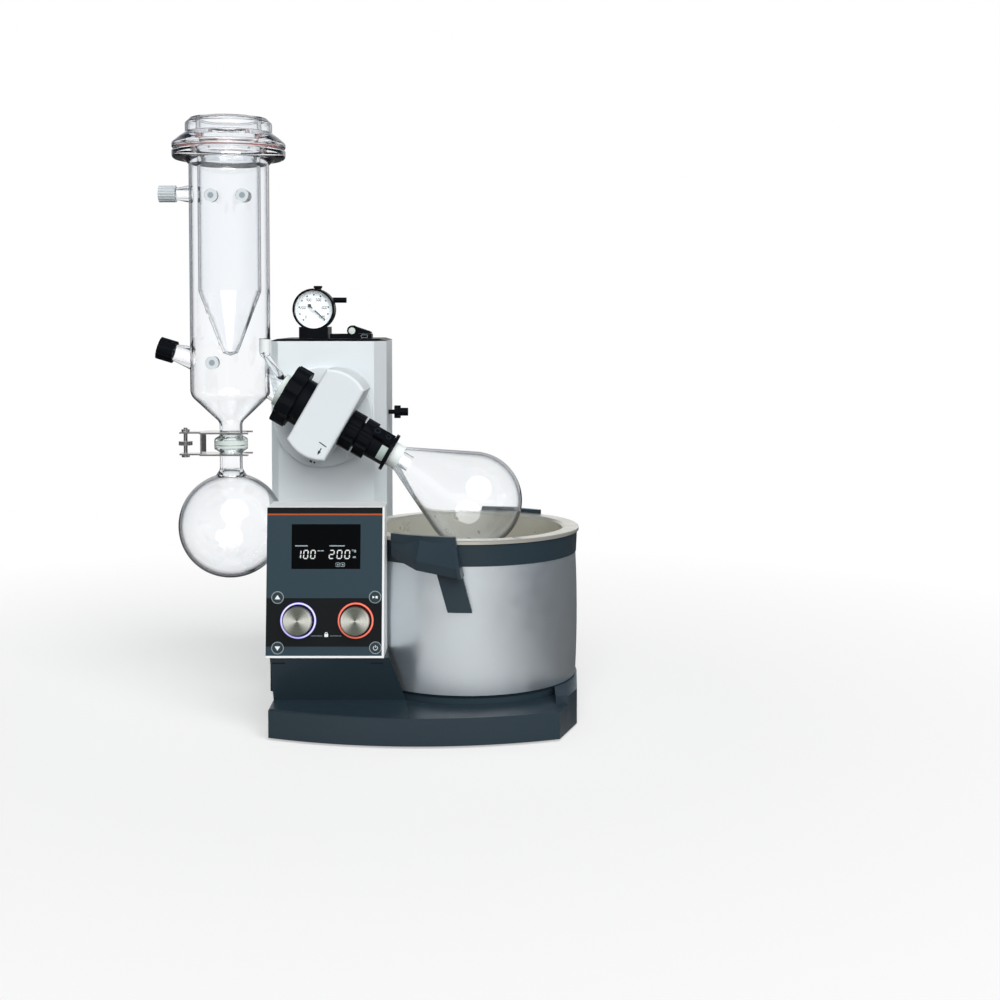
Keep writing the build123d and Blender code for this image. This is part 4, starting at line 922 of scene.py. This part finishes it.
CLAMP_PIVOT, PIVOT_CAP_RADIUS = (-28.0, 471.1), 4.4
clamp_front = facing_front(0, 98.0, 0)
cap_top = softened([(PIVOT_CAP_RADIUS, 0.5), (0, 0.9)], 0.1, closed=False)
pivot_cap = turned_mesh("clamp_pivot_cap", [(0, PRINT_SEAT), (PIVOT_CAP_RADIUS, PRINT_SEAT)] + cap_top)
add_piece(pivot_cap, shifted(clamp_front, *CLAMP_PIVOT), "tower", "frosted_green")
clamp_mark = frame_line(-15.8, -7.6, 461.9, 465.7, 1.2, 0.5)
printed("clamp_frame_mark", [clamp_mark], "print_grey", at=clamp_front, body="tower")


# Drive head: label on the clip, marks on its paddle, on the shell and on the swivel disc

drive = local_frame((-56.8, 0, 369.16), (0.5, 0, 0.8660254), (0.8660254, 0, -0.5))
PADDLE_TURN, PADDLE_TOP = radians(45.0), 25.5
CLIP_LABEL = (19.28, 19.42, 86.0, 95.0)
CLIP_LABEL_TURN = (72.0, 133.0)

add_piece(swept_mesh("clip_label", block(*CLIP_LABEL), *CLIP_LABEL_TURN), drive, "hub",
          "label_grey")
paddle = drive @ Matrix.Rotation(PADDLE_TURN, 4, "Z") @ Matrix.Rotation(pi / 2, 4, "Y")
printed("paddle_marks", hoop(-72.5, 0, 3.4, 0.6) + hoop(-88.0, 0, 3.0, 0.5), "mark_dark", at=paddle,
        body="clip_button", low=PADDLE_TOP)

shell_front = facing_front(-56.8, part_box("head_shell_front")[0][1] * 1000, 369.16)
arrow = [stroke([(4.4, -40.5), (2.2, -44.3)], 1.3), [(-0.4, -48.8), (3.9, -45.2), (0.5, -43.2)],
         stroke([(1.9, -32.9), (10.6, -39.0)], 1.3)]
printed("tilt_arrow", arrow, "mark_black", at=shell_front, body="head")
swivel_front = facing_front(-61.8, 50.0, 360.5)
tilt_marks = [stroke([(31.4, 51.2), (33.0, 53.8)], 2.4), stroke([(-16.6, -56.0), (-13.6, -57.6)], 2.6),
              stroke([(-11.6, -58.0), (-9.4, -58.6)], 2.2)]
printed("tilt_scale", tilt_marks, "mark_black", at=swivel_front, body="tower")
tilt_notch = block(30.4, 33.0, -53.0, -42.0)
printed("tilt_notch", [tilt_notch], "print_white", at=swivel_front, body="tower")


# Glassware: frosted joints, port faces with painted shade over their bores, and the receiving flask in one
# piece

SLEEVE, SLEEVE_GAP = 0.15, 0.03
NECK_RADIUS, SHOULDER_ROUND, ROUND_START = 15.5, 20.0, 107.3
FROSTING_LOW, FROSTING_HIGH, FROSTING_STEPS = 100.4, 114.0, 12


def sleeve(name, at, profile, body, mat):
    """A thin skin of frosted glass or print over a turned profile of (radius, height) points."""
    inner = [(radius + SLEEVE_GAP, height) for radius, height in profile]
    outer = [(radius + SLEEVE_GAP + SLEEVE, height) for radius, height in reversed(profile)]
    add_piece(turned_mesh(name, inner + outer), at, body, mat)


def neck_profile():
    """The outside of the evaporating flask's neck, where it starts to widen."""
    points = []
    for i in range(FROSTING_STEPS + 1):
        height = FROSTING_LOW + (FROSTING_HIGH - FROSTING_LOW) * i / FROSTING_STEPS
        along = max(height - ROUND_START, 0)
        points.append((NECK_RADIUS + SHOULDER_ROUND - (SHOULDER_ROUND ** 2 - along ** 2) ** 0.5, height))
    return points


def band(radius, low, high):
    return [(radius, low), (radius, high)]


vent_stub = upright_at(-121.5, -34.0)
trap = upright_at(-170.0, 0)
sleeve("flask_neck_frosting", drive, neck_profile(), "hub", "frosted")
sleeve("vent_stub_frosting", vent_stub, band(6.7, 446.5, 462.0), "head", "frosted")
sleeve("vent_stub_rim", vent_stub, band(6.7, 462.2, 462.9), "head", "print_black")
sleeve("duct_flange_edge", drive, band(21.0, -59.6, -53.7), "head", "frosted_green")
sleeve("joint_frosting_low", trap, band(20.6, 326.2, 329.2), "head", "frosted_green")
sleeve("joint_frosting_high", trap, band(20.6, 330.2, 335.4), "head", "frosted_green")

RECEIVER_RADIUS, RECEIVER_CENTRE, RECEIVER_STEPS, GLASS_WALL = 65.5, 228.6, 48, 2.4
NECK_OUTSIDE, NECK_START, CUP_OUTSIDE, CUP_TOP = 14.0, 19.0, 20.6, 329.5
NECK_ROUNDS = [0, 8.0, 3.0, 2.0, 0]


def receiver_outline():
    """Half of the receiving flask, outside from the bottom up to the ball joint and back down inside."""
    centre = (0, RECEIVER_CENTRE)
    inside, bore = RECEIVER_RADIUS - GLASS_WALL, NECK_OUTSIDE - GLASS_WALL
    neck_low = RECEIVER_CENTRE + (RECEIVER_RADIUS ** 2 - NECK_OUTSIDE ** 2) ** 0.5
    outer = arc(centre, RECEIVER_RADIUS, -90, degrees(acos(NECK_START / RECEIVER_RADIUS)), RECEIVER_STEPS)
    neck = [outer[-1], (NECK_OUTSIDE, neck_low + 7), (NECK_OUTSIDE, CUP_TOP - 9), (CUP_OUTSIDE, CUP_TOP - 5),
            (CUP_OUTSIDE, CUP_TOP)]
    inner = arc(centre, inside, degrees(acos(bore / inside)), -90, RECEIVER_STEPS)
    return outer[:-1] + softened(neck, NECK_ROUNDS, closed=False) + [(bore, CUP_TOP)] + inner


receiver = turned_mesh("receiving_bulb", receiver_outline())
add_piece(receiver, trap, "head", "clear_glass", ["receiving_flask"])

PORTS = [(-182.0, 636.0), (-144.0, 636.0), (-182.0, 434.0)]
PORT_END_Y, PORT_BORE, PORT_RADIUS = -58.0, 3.6, 7.6
for number, (x, z) in enumerate(PORTS, 1):
    port = facing_front(x, PORT_END_Y, z)
    # painted shade: a darker grey disc over the bore stands in for the shade inside the port's opening
    face = turned_mesh(f"port_bore_shade_{number}", block(0.0, PORT_BORE, 0.03, 0.1))
    add_piece(face, port, "head", "port_grey")
    rim = turned_mesh(f"port_ring_{number}", block(PORT_BORE, PORT_RADIUS, 0.03, 0.14))
    add_piece(rim, port, "head", "port_pale")
